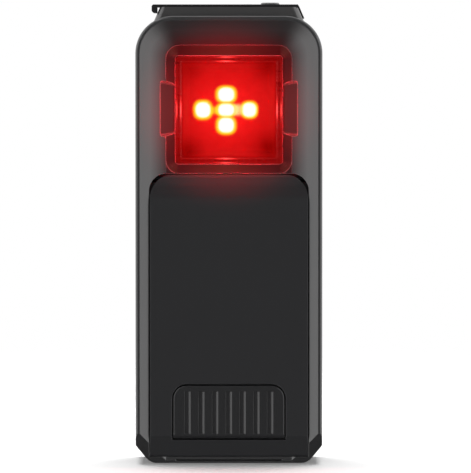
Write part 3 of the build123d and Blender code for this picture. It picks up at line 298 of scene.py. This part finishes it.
def rounded_square(half_x, half_z, radius, side_points=14, corner_points=7):
    """Points round an upright rectangle with round corners, anticlockwise seen from the front: each corner
    is a quarter circle of the radius, and each side is an even run between two corners."""
    along = np.linspace(0, 1, side_points + 2)[1:-1]
    arcs = []
    for quarter, signs in enumerate(((1, 1), (-1, 1), (-1, -1), (1, -1))):
        angle = np.linspace(0, np.pi / 2, corner_points) + quarter * np.pi / 2
        centre = np.array(signs) * (half_x - radius, half_z - radius)
        arcs.append(centre + radius * np.stack([np.cos(angle), np.sin(angle)], axis=1))
    run = []
    for arc, after in zip(arcs, arcs[1:] + arcs[:1]):
        run += [arc, arc[-1] + (after[0] - arc[-1]) * along[:, None]]
    return np.concatenate(run)


# The lit lens and what lies behind it

lens_low, lens_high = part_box("lens")
domes_low, domes_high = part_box("led_domes")
reflector_low, reflector_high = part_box("reflector")
LENS_FLANGE = 1.1 * MM
LENS_CENTRE = (lens_low + lens_high) / 2
LENS_HALF_X = (lens_high.x - lens_low.x) / 2 - LENS_FLANGE
LENS_HALF_Z = (lens_high.z - lens_low.z) / 2 - LENS_FLANGE

# Where the housing's recess has its painted highlight along the rim and its matt walls: reach past the lens,
# the plane where each starts and how far behind that it is full, and what they do to the rubbed and
# highlighted tone and the shine
RIM_REACH = 3.5 * MM
RIM_FRONT = -10.4 * MM
RIM_DEPTH = 0.15 * MM
RIM_HIGHLIGHT_LIFT = 2.2
SLOPE_REACH = 6.5 * MM
SLOPE_FRONT = -11.0 * MM
SLOPE_DEPTH = 1.3 * MM
RECESS_SHINE = 0.2

# The light behind the lens, painted as emission on the reflector: its full strength, what the lens passes of
# each colour, and its three colours
GLOW_FULL = 16.0
LENS_PASSES = (0.95, 0.35, 0.30, 1.0)
RED_LIGHT = np.array([1.0, 0.02, 0.02])
YELLOW_LIGHT = np.array([1.2, 0.72, 0.012])
WHITE_LIGHT = np.array([1.5, 0.5, 1.15])

# Hearts of the emitters: half width and half height of each in millimetres, how square they are, and the
# shares of these halves between which the white and then the yellow fall away
HEART_HALVES = np.array([(1.6, 1.2), (1.5, 1.55), (1.35, 1.4), (1.6, 1.5), (1.65, 1.4)])
HEART_SQUARENESS = 2.6
WHITE_FALL = (0.72, 1.22)
YELLOW_FALL = (1.1, 1.62)

# Bridges beside the middle emitter: place across and up, half width and half height, all in millimetres,
# then the strength of their yellow and their white
BRIDGES = ((2.45, 0.0, 1.0, 1.15, 0.9, 0.22), (-2.6, -0.1, 0.9, 0.8, 0.62, 0.0))

# The painted red glow round the emitters: even all over, stronger in a halo whose reach is in millimetres,
# weaker in blots, each at shares of the lens's half sizes and with a depth, and weakest along the margin
RED_EVEN = 0.31
RED_HALO = 0.45
HALO_REACH = (5.5, 5.0)
BLOTS = ((0.74, 0.82, 0.8), (0.76, -0.7, 0.95), (-0.8, -0.78, 0.9), (-0.78, 0.76, 0.6))
BLOT_SPREAD = 0.08
BLOT_MOST = 0.95
MARGIN_FALL = (0.84, 0.92)
MARGIN_RED = 0.25

# The emitters, the middle one first, then left, right, lower and upper
DOME_RADIUS = domes_high.y - domes_low.y
EMITTER_CENTRE = (domes_low + domes_high) / 2
EMITTER_PITCH_X = (domes_high.x - domes_low.x) / 2 - DOME_RADIUS
EMITTER_PITCH_Z = (domes_high.z - domes_low.z) / 2 - DOME_RADIUS
EMITTERS = np.array([
    (EMITTER_CENTRE.x, EMITTER_CENTRE.z),
    (EMITTER_CENTRE.x - EMITTER_PITCH_X, EMITTER_CENTRE.z),
    (EMITTER_CENTRE.x + EMITTER_PITCH_X, EMITTER_CENTRE.z),
    (EMITTER_CENTRE.x, EMITTER_CENTRE.z - EMITTER_PITCH_Z),
    (EMITTER_CENTRE.x, EMITTER_CENTRE.z + EMITTER_PITCH_Z),
])


def smooth_fall(value, start, end):
    """One up to the start, nought past the end, and a smooth step down between them."""
    share = np.clip((end - value) / (end - start), 0, 1)
    return share**2 * (3 - 2 * share)


def lens_cover():
    """Shallow red dish. A section from the pole of the front pane out over a step and a rim, round the
    edge, down the wall, out over the flange and back in along the hollow is carried round a rounded
    square, drawn in by the section's inset. The edges where a glint of the emitters' light is painted on are
    marked."""
    front = lens_low.y
    back = lens_high.y
    wall = 1.3 * MM
    pane_step = 0.3 * MM
    pane_thickness = 1.0 * MM
    flange_thickness = 1.0 * MM
    ridge = 1.05 * MM
    edge = 0.28 * MM
    deep_inset = 8.0 * MM
    inner_face = front + pane_step + pane_thickness
    flange_front = back - flange_thickness
    turns = np.linspace(0, np.pi / 2, 6)[1:]
    section = [
        (deep_inset, front + pane_step, 0.0),
        (deep_inset / 2, front + pane_step, 0.0),
        (ridge + 0.30 * MM, front + pane_step, 0.0),
        (ridge + 0.14 * MM, front + pane_step * 0.9, 0.5),
        (ridge, front + pane_step * 0.5, 1.0),
        (ridge - 0.12 * MM, front + pane_step * 0.1, 0.5),
        (ridge - 0.26 * MM, front, 0.0),
        (edge + 0.16 * MM, front, 0.0),
        (edge, front, 0.6),
    ]
    section += [(edge * (1 - math.sin(a)), front + edge * (1 - math.cos(a)), 0.7) for a in turns]
    section += [
        (0.0, flange_front - 0.1 * MM, 0.0),
        (0.0, flange_front, 0.0),
        (-LENS_FLANGE, flange_front, 0.0),
        (-LENS_FLANGE, back, 0.0),
        (wall, back, 0.0),
        (wall, inner_face, 0.0),
        (deep_inset, inner_face, 0.0),
    ]
    corner = 0.6 * MM
    least_corner = 0.25 * MM
    spot = 1.6 * MM
    rings, glow = [], []
    for inset, depth, glint_share in section:
        ring = rounded_square(LENS_HALF_X - inset, LENS_HALF_Z - inset, max(corner - inset, least_corner))
        rings.append(np.stack([ring[:, 0] + LENS_CENTRE.x, np.full(len(ring), depth),
                               ring[:, 1] + LENS_CENTRE.z], axis=1))
        across = (ring[:, 0] + LENS_CENTRE.x - EMITTER_CENTRE.x) / spot
        along = (ring[:, 1] + LENS_CENTRE.z - EMITTER_CENTRE.z) / spot
        nearest = np.minimum(np.abs(across), np.abs(along))
        glow.append(glint_share * (0.16 + np.exp(-nearest**2)))
    poles = (
        (LENS_CENTRE.x, front + pane_step, LENS_CENTRE.z),
        (LENS_CENTRE.x, inner_face, LENS_CENTRE.z),
    )
    return sheet_mesh("lens_cover", np.array(rings), False, True, poles, {"painted_edge_glint": np.array(glow)})


def light_map(grid_x, grid_z):
    """Colour and strength of the light painted as a glow sent forward at each point, as shares of GLOW_FULL.
    Each emitter has a white heart inside a yellow rim, both smooth steps of a distance whose level lines are
    rounded squares, and a yellow bridge joins the middle one to each side. Round them lies an even red that
    falls away in blots towards the four corners. What the lens takes out of each colour is put back."""
    across = np.abs(grid_x[..., None] - EMITTERS[:, 0]) / (HEART_HALVES[:, 0] * MM)
    along = np.abs(grid_z[..., None] - EMITTERS[:, 1]) / (HEART_HALVES[:, 1] * MM)
    power = HEART_SQUARENESS
    away = ((across**power + along**power) ** (1 / power)).min(axis=-1)
    white = smooth_fall(away, *WHITE_FALL)
    yellow = smooth_fall(away, *YELLOW_FALL)
    near = (grid_x - EMITTER_CENTRE.x) / MM
    level = (grid_z - EMITTER_CENTRE.z) / MM
    for place_x, place_z, half_x, half_z, yellow_gain, white_gain in BRIDGES:
        bridge = np.exp(-(((near - place_x) / half_x) ** 2) - ((level - place_z) / half_z) ** 4)
        yellow = yellow + yellow_gain * bridge
        white = white + white_gain * bridge
    yellow = np.clip(yellow, 0, 1)
    white = np.clip(white, 0, 1)
    halo = np.exp(-((near / HALO_REACH[0]) ** 2) - (level / HALO_REACH[1]) ** 2)
    share_x = (grid_x - LENS_CENTRE.x) / LENS_HALF_X
    share_z = (grid_z - LENS_CENTRE.z) / LENS_HALF_Z
    blots = np.zeros_like(grid_x)
    for place_x, place_z, depth in BLOTS:
        blots += depth * np.exp(-((share_x - place_x) ** 2 + (share_z - place_z) ** 2) / BLOT_SPREAD)
    margin = smooth_fall(np.maximum(np.abs(share_x), np.abs(share_z)), *MARGIN_FALL)
    red = (RED_EVEN + RED_HALO * halo) * (1 - np.clip(blots, 0, BLOT_MOST))
    red *= MARGIN_RED + (1 - MARGIN_RED) * margin
    light = red[..., None] * RED_LIGHT + yellow[..., None] * YELLOW_LIGHT + white[..., None] * WHITE_LIGHT
    return np.clip(light / np.array(LENS_PASSES[:3]) ** 2 / GLOW_FULL, 0, 1)


def reflector_bowl():
    """Tray behind the lens, bright with a painted glow: a height field over a square, flat at its rim, sunk
    by a smooth step to a shallow tray, and sunk further to a round cup at each emitter. Its back is a flat
    copy, and its rim is closed by a wall. The painted glow that each point sends forward is kept with it."""
    count = 160
    x = np.linspace(reflector_low.x, reflector_high.x, count)
    z = np.linspace(reflector_low.z, reflector_high.z, count)
    grid_x, grid_z = np.meshgrid(x, z)
    rim_highlight = 2.6 * MM
    slope = 1.5 * MM
    tray_depth = 0.9 * MM
    cup_radius = 1.75 * MM
    cup_fullness = 1.35
    back_skin = 0.1 * MM
    cup_depth = (reflector_high.y - reflector_low.y) - tray_depth - back_skin
    side = np.minimum.reduce([grid_x - x[0], x[-1] - grid_x, grid_z - z[0], z[-1] - grid_z])
    into = np.clip((side - rim_highlight) / slope, 0, 1)
    sunk = tray_depth * into**2 * (3 - 2 * into)
    away = np.sqrt((grid_x[..., None] - EMITTERS[:, 0]) ** 2 + (grid_z[..., None] - EMITTERS[:, 1]) ** 2)
    cup = np.clip(cup_fullness * (1 - (away.min(axis=-1) / cup_radius) ** 2), 0, 1)
    depth = reflector_low.y + sunk + cup_depth * cup
    front = np.stack([grid_x, depth, grid_z], axis=-1)
    back = np.stack([grid_x, np.full_like(grid_x, reflector_high.y), grid_z], axis=-1)
    index = np.arange(count * count).reshape(count, count)
    ring = np.concatenate([index[0, :-1], index[:-1, -1], index[-1, :0:-1], index[:0:-1, 0]])
    after = np.roll(ring, -1)
    quads = np.stack([index[:-1, :-1], index[:-1, 1:], index[1:, 1:], index[1:, :-1]], -1).reshape(-1, 4)
    shell = count * count
    faces = quads.tolist() + (quads[:, ::-1] + shell).tolist()
    faces += np.stack([ring, ring + shell, after + shell, after], -1).tolist()
    mesh = bpy.data.meshes.new("reflector_bowl")
    mesh.from_pydata(np.concatenate([front.reshape(-1, 3), back.reshape(-1, 3)]).tolist(), [], faces)
    colours = np.zeros((shell * 2, 4), np.float32)
    # Painted glow of the emitters' light, kept with each point of the front
    colours[:shell, :3] = light_map(grid_x, grid_z).reshape(-1, 3)
    colours[:, 3] = 1.0
    layer = mesh.attributes.new("painted_glow", "FLOAT_COLOR", "POINT")
    layer.data.foreach_set("color", colours.reshape(-1))
    mesh.polygons.foreach_set("use_smooth", np.ones(len(mesh.polygons), bool))
    mesh.update()
    return mesh


def lens_red():
    """Clear red plastic: it passes red light, shines at its face, more so where it is seen at a slant,
    and its edges carry a painted glint of the emitters' light, which also makes them less clear."""
    material, tree, shader, output = blank("lens_red")
    fine = noise(tree, object_place(tree), 1.6, 2.0)
    shader.inputs["Base Color"].default_value = linear(150, 8, 12)
    tree.links.new(spread(tree, fine, 0.05, 0.12), shader.inputs["Roughness"])
    set_bump(tree, shader, fine, 0.01, 0.5)
    shader.inputs["Emission Color"].default_value = (1.0, 0.16, 0.14, 1.0)
    # Painted glint of the emitters' light along the lens edges
    painted_glint = put(tree, "ShaderNodeAttribute", attribute_name="painted_edge_glint").outputs["Fac"]
    glint_strength = 1.3
    glint_cover = 0.6
    tree.links.new(math_node(tree, "MULTIPLY", painted_glint, glint_strength), shader.inputs["Emission Strength"])
    clear = put(tree, "ShaderNodeBsdfTransparent", {"Color": LENS_PASSES})
    slant = put(tree, "ShaderNodeLayerWeight", {"Blend": 0.5}).outputs["Facing"]
    gloss = spread(tree, math_node(tree, "POWER", slant, 5.0), 0.04, 0.84)
    solid = math_node(tree, "ADD", gloss, math_node(tree, "MULTIPLY", painted_glint, glint_cover), clamp=True)
    mixed = put(tree, "ShaderNodeMixShader", {0: solid, 1: clear.outputs[0], 2: shader.outputs[0]})
    tree.links.new(mixed.outputs[0], output.inputs["Surface"])
    return material


def reflector_silver():
    """Vacuum-coated plastic: satin silver that sends out the emitters' light painted on it as emission, kept
    with its mesh.
    """
    material, tree, shader, _ = blank("reflector_silver")
    shader.inputs["Base Color"].default_value = (0.04, 0.04, 0.04, 1.0)
    shader.inputs["Metallic"].default_value = 0.4
    fine = noise(tree, object_place(tree), 1.3, 2.0)
    tree.links.new(spread(tree, fine, 0.3, 0.42), shader.inputs["Roughness"])
    # Painted glow: the emitters' light, sent out as emission
    sent = put(tree, "ShaderNodeAttribute", attribute_name="painted_glow").outputs["Color"]
    uneven = put(tree, "ShaderNodeVectorMath", {0: sent, "Scale": spread(tree, fine, 0.8, 1.2)},
                 operation="SCALE")
    tree.links.new(uneven.outputs["Vector"], shader.inputs["Emission Color"])
    shader.inputs["Emission Strength"].default_value = GLOW_FULL
    return material


def emitter_glow():
    """Lit emitter: white where its dome faces forwards, and yellow where the dome turns away."""
    material, tree, shader, _ = blank("emitter_glow")
    shader.inputs["Base Color"].default_value = linear(240, 150, 120)
    shader.inputs["Roughness"].default_value = 0.3
    normal = put(tree, "ShaderNodeNewGeometry").outputs["Normal"]
    forward = put(tree, "ShaderNodeSeparateXYZ", {0: normal}).outputs["Y"]
    pole = smooth_step(tree, forward, -0.4, -0.75)
    colour = blend_colour(tree, pole, (0.2, 0.6, 0.6, 1.0), (0.3, 0.8, 0.9, 1.0))
    tree.links.new(colour, shader.inputs["Emission Color"])
    shader.inputs["Emission Strength"].default_value = GLOW_FULL
    return material


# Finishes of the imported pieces: colour, roughness, shine, and what sets each apart

finishes = {
    "housing_grey": moulded("housing_grey", linear(36, 36, 37), 0.33, 1.0, edge=0.18, rub_and_highlight=5.0, recess=True),
    "rear_shell": moulded("rear_shell", linear(50, 50, 51), 0.5, 0.4, grain=0.3, relief=0.02),
    "panel_black": moulded("panel_black", linear(35, 35, 37), 0.42, 0.5, relief=0.008, edge=0.2, rub_and_highlight=2.6),
    "latch_black": moulded("latch_black", linear(26, 26, 28), 0.34, 0.7, relief=0.006, edge=0.08, rub_and_highlight=1.6),
    "plinth_grey": moulded("plinth_grey", linear(64, 63, 63), 0.3, 1.0, edge=0.12, rub_and_highlight=1.6),
    "cap_rubber": moulded("cap_rubber", linear(26, 26, 27), 0.6, 0.3, grain=0.35, relief=0.02),
    "button_grey": moulded("button_grey", linear(112, 112, 112), 0.5, 0.35, edge=0.3, rub_and_highlight=1.15),
    "seal_rubber": moulded("seal_rubber", linear(20, 20, 20), 0.7, 0.25),
    "board_green": moulded("board_green", linear(24, 74, 46), 0.4, 0.5, grain=0.5, edge=0.05),
    "led_body": moulded("led_body", linear(228, 226, 214), 0.4, 0.5, edge=0.05),
    "chip_black": moulded("chip_black", linear(30, 30, 31), 0.5, 0.4, edge=0.06),
    "battery_wrap": moulded("battery_wrap", linear(38, 92, 140), 0.25, 0.5, grain=1.2, relief=0.03),
    "tray_black": moulded("tray_black", linear(34, 34, 35), 0.55, 0.35),
    "window_clear": moulded("window_clear", linear(118, 120, 122), 0.28, 0.5, relief=0.004),
    "mount_black": moulded("mount_black", linear(33, 33, 34), 0.5, 0.4, grain=0.3, relief=0.018),
    "steel": metal("steel", linear(176, 176, 180), 0.3),
    "gold_contact": metal("gold_contact", linear(222, 176, 92), 0.25),
    "led_dome": emitter_glow(),
}

for row in frame["record"]["subparts"]:
    if row["material_slot"] in finishes:
        mesh = nodes[row["node"]].data
        mesh.materials.clear()
        mesh.materials.append(finishes[row["material_slot"]])
nodes["led_packages"].data.materials[0] = finishes["led_dome"]
for owner in ("cover_pin", "latch_pin"):
    nodes[owner].data.materials[0] = metal("blackened_steel", linear(34, 34, 36), 0.45)

piece("lens_cover", lens_cover(), lens_red(), "body", "lens", slot="lens_red")
piece("reflector_bowl", reflector_bowl(), reflector_silver(), "body", "reflector", slot="reflector_metal")


# The rubber web of the charging port's cover

def cap_hinge():
    """Web that joins the port cover to its strap: a flat section with round ends, drawn clockwise seen
    from the front, is carried along the hinge line from the front edge of the cover to its back edge."""
    joint = next(row for row in frame["record"]["behaviour"]["joints"] if row["name"] == "port_cover_lift")
    hinge_x, _, hinge_z = joint["pos_m"]
    cover_low, cover_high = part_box("port_cover")
    proud = 0.012 * MM
    reach = 0.75 * MM
    half_height = cover_high.z + proud - hinge_z
    run = np.linspace(-reach, reach, 13)
    turns = np.linspace(0, np.pi, 7)[1:-1]
    upper = np.stack([run, np.full_like(run, half_height)], axis=1)
    right = np.stack([reach + half_height * np.sin(turns), half_height * np.cos(turns)], axis=1)
    section = np.concatenate([upper, right, -upper, -right])
    depths = np.linspace(cover_low.y - proud, cover_high.y, 9)
    rings = np.zeros((len(depths), len(section), 3))
    rings[:, :, 0] = hinge_x + section[:, 0]
    rings[:, :, 1] = depths[:, None]
    rings[:, :, 2] = hinge_z + section[:, 1]
    poles = ((hinge_x, depths[0], hinge_z), (hinge_x, depths[-1], hinge_z))
    made = piece("cap_hinge", sheet_mesh("cap_hinge", rings, False, True, poles), finishes["cap_rubber"],
                 None, slot="cap_rubber")
    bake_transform(made)


cap_hinge()


# Studio

def floor_disc():
    """White floor that fades out with distance: a polar grid, with its middle closed by one point."""
    turns = np.linspace(0, 2 * np.pi, 97)[:-1]
    reach = np.array([0.05, 0.12, 0.2, 0.3, 0.42])
    clearance = 0.04 * MM
    fade_start, fade_end = 0.12, 0.4
    camera_lift = 0.03
    below = cad_box[0][2] - clearance
    rings = np.stack([
        np.outer(reach, np.cos(turns)),
        np.outer(reach, np.sin(turns)),
        np.full((len(reach), len(turns)), below),
    ], axis=-1)
    mesh = sheet_mesh("studio_floor", rings, False, True, ((0, 0, below),))
    material, tree, shader, output = blank("studio_floor")
    shader.inputs["Base Color"].default_value = (0.86, 0.86, 0.86, 1.0)
    shader.inputs["Roughness"].default_value = 0.9
    shader.inputs["Specular IOR Level"].default_value = 0.0
    path = put(tree, "ShaderNodeLightPath")
    shader.inputs["Emission Color"].default_value = (1.0, 1.0, 1.0, 1.0)
    lift = math_node(tree, "MULTIPLY", path.outputs["Is Camera Ray"], camera_lift)
    tree.links.new(lift, shader.inputs["Emission Strength"])
    away = put(tree, "ShaderNodeVectorMath", {0: object_place(tree)}, operation="LENGTH").outputs["Value"]
    faded = smooth_step(tree, away, fade_start, fade_end)
    clear = put(tree, "ShaderNodeBsdfTransparent")
    mixed = put(tree, "ShaderNodeMixShader", {0: faded, 1: shader.outputs[0], 2: clear.outputs[0]})
    tree.links.new(mixed.outputs[0], output.inputs["Surface"])
    mesh.materials.append(material)
    made = bpy.data.objects.new("studio_floor", mesh)
    bpy.context.scene.collection.objects.link(made)
    made.visible_glossy = False
    made.visible_diffuse = False
    made.visible_shadow = False


def studio_world():
    """White all round for the camera. Mirrors see white behind the light, a strong bank on each side, and
    weaker ones above and straight before it. All else gets an even light, more from the sides than from
    the front and more from above than from below."""
    world = bpy.data.worlds.new("studio")
    bpy.context.scene.world = world
    world.use_nodes = True
    tree = world.node_tree
    tree.nodes.clear()
    output = tree.nodes.new("ShaderNodeOutputWorld")
    path = put(tree, "ShaderNodeLightPath")
    way = put(tree, "ShaderNodeTexCoord").outputs["Generated"]
    split = put(tree, "ShaderNodeSeparateXYZ", {0: way})
    sideways = math_node(tree, "ABSOLUTE", split.outputs["X"])
    backward = split.outputs["Y"]
    upward = split.outputs["Z"]

    # A step names where in the direction it starts and ends, then the strengths on either side of it
    def both(first, second):
        return math_node(tree, "MULTIPLY", first, second)

    def stronger(first, second):
        return math_node(tree, "MAXIMUM", first, second)

    def step(value, start, end, low, high):
        return smooth_step(tree, value, start, end, low, high)

    banks = both(step(sideways, 0.28, 0.5, 0.02, 1.75), step(upward, -0.5, -0.2, 1.3, 1.0))
    card = both(step(backward, -0.84, -0.98, 0.0, 0.34), step(upward, -0.3, 0.12, 0.0, 1.0))
    behind = step(backward, -0.1, 0.5, 0.0, 1.0)
    above = step(upward, 0.75, 0.98, 0.0, 0.8)
    even = both(step(sideways, 0.0, 0.9, 0.15, 0.6), step(upward, -0.5, 0.1, 0.3, 1.0))
    mirrored = stronger(path.outputs["Is Glossy Ray"], path.outputs["Is Transmission Ray"])
    shown = both(mirrored, stronger(above, stronger(banks, stronger(card, behind))))
    even = both(even, math_node(tree, "SUBTRACT", 1.0, mirrored))
    level = stronger(path.outputs["Is Camera Ray"], stronger(shown, even))
    made = put(tree, "ShaderNodeBackground", {"Color": (1.0, 1.0, 1.0, 1.0), "Strength": level})
    tree.links.new(made.outputs[0], output.inputs["Surface"])


def lamp(name, place, size, power, aim, colour=(1.0, 1.0, 1.0)):
    """Soft rectangular lamp at a place, turned to its aim, that neither the camera nor a mirror sees."""
    data = bpy.data.lights.new(name, "AREA")
    data.shape = "RECTANGLE"
    data.size = size[0]
    data.size_y = size[1]
    data.energy = power
    data.color = colour
    made = bpy.data.objects.new(name, data)
    bpy.context.scene.collection.objects.link(made)
    made.location = place
    made.rotation_euler = (Vector(aim) - Vector(place)).to_track_quat("-Z", "Y").to_euler()
    made.visible_camera = False
    made.visible_glossy = False


def lens_glow():
    """Red light that the lens throws onto its recess, the frame and the top of the cover: one square lamp
    close before the lens, and a soft cone that comes back from the air in front of it."""
    middle = Vector((EMITTER_CENTRE.x, lens_low.y, EMITTER_CENTRE.z))
    side = 18 * MM
    gap = 1.0 * MM
    air_distance = 40 * MM
    air_radius = 3 * MM
    air_cone = math.radians(60)
    lamp("glow_recess", middle - Vector((0, gap, 0)), (side, side), 0.028, middle - Vector((0, 1, 0)),
         (1.0, 0.02, 0.03))
    data = bpy.data.lights.new("glow_air", "SPOT")
    data.energy = 0.78
    data.color = (1.0, 0.012, 0.02)
    data.shadow_soft_size = air_radius
    data.spot_size = air_cone
    data.spot_blend = 1.0
    made = bpy.data.objects.new("glow_air", data)
    bpy.context.scene.collection.objects.link(made)
    made.location = middle - Vector((0, air_distance, 0))
    made.rotation_euler = Vector((0, 1, 0)).to_track_quat("-Z", "Y").to_euler()
    made.visible_camera = False
    made.visible_glossy = False


def studio_camera():
    """Long lens, level with the light and a little above, framed as the photograph is."""
    data = bpy.data.cameras.new("camera")
    made = bpy.data.objects.new("camera", data)
    bpy.context.scene.collection.objects.link(made)
    data.sensor_width = SENSOR
    data.lens = SENSOR * CAMERA_DISTANCE / (PHOTO_HEIGHT * PIXEL)
    aim = Vector((
        (PHOTO_WIDTH / 2 - MIDDLE_COLUMN) * PIXEL,
        cad_box[0][1],
        (GROUND_ROW - PHOTO_HEIGHT / 2) * PIXEL,
    ))
    back = Vector((0, -math.cos(CAMERA_ELEVATION), math.sin(CAMERA_ELEVATION)))
    made.location = aim + back * CAMERA_DISTANCE
    made.rotation_euler = (-back).to_track_quat("-Z", "Y").to_euler()
    data.clip_start = 0.01
    data.clip_end = 20.0
    bpy.context.scene.camera = made


studio_camera()
floor_disc()
studio_world()
lamp("lamp_top", (0.0, 0.24, 0.88), (0.7, 0.5), 11.5, (0.0, 0.0, 0.0))
for side, name in ((-1, "lamp_left"), (1, "lamp_right")):
    lamp(name, (side * 0.27, -0.29, 0.05), (0.2, 0.06), 0.16, (0.0, 0.0, 0.05))
lens_glow()
bpy.context.scene.view_settings.view_transform = "Standard"
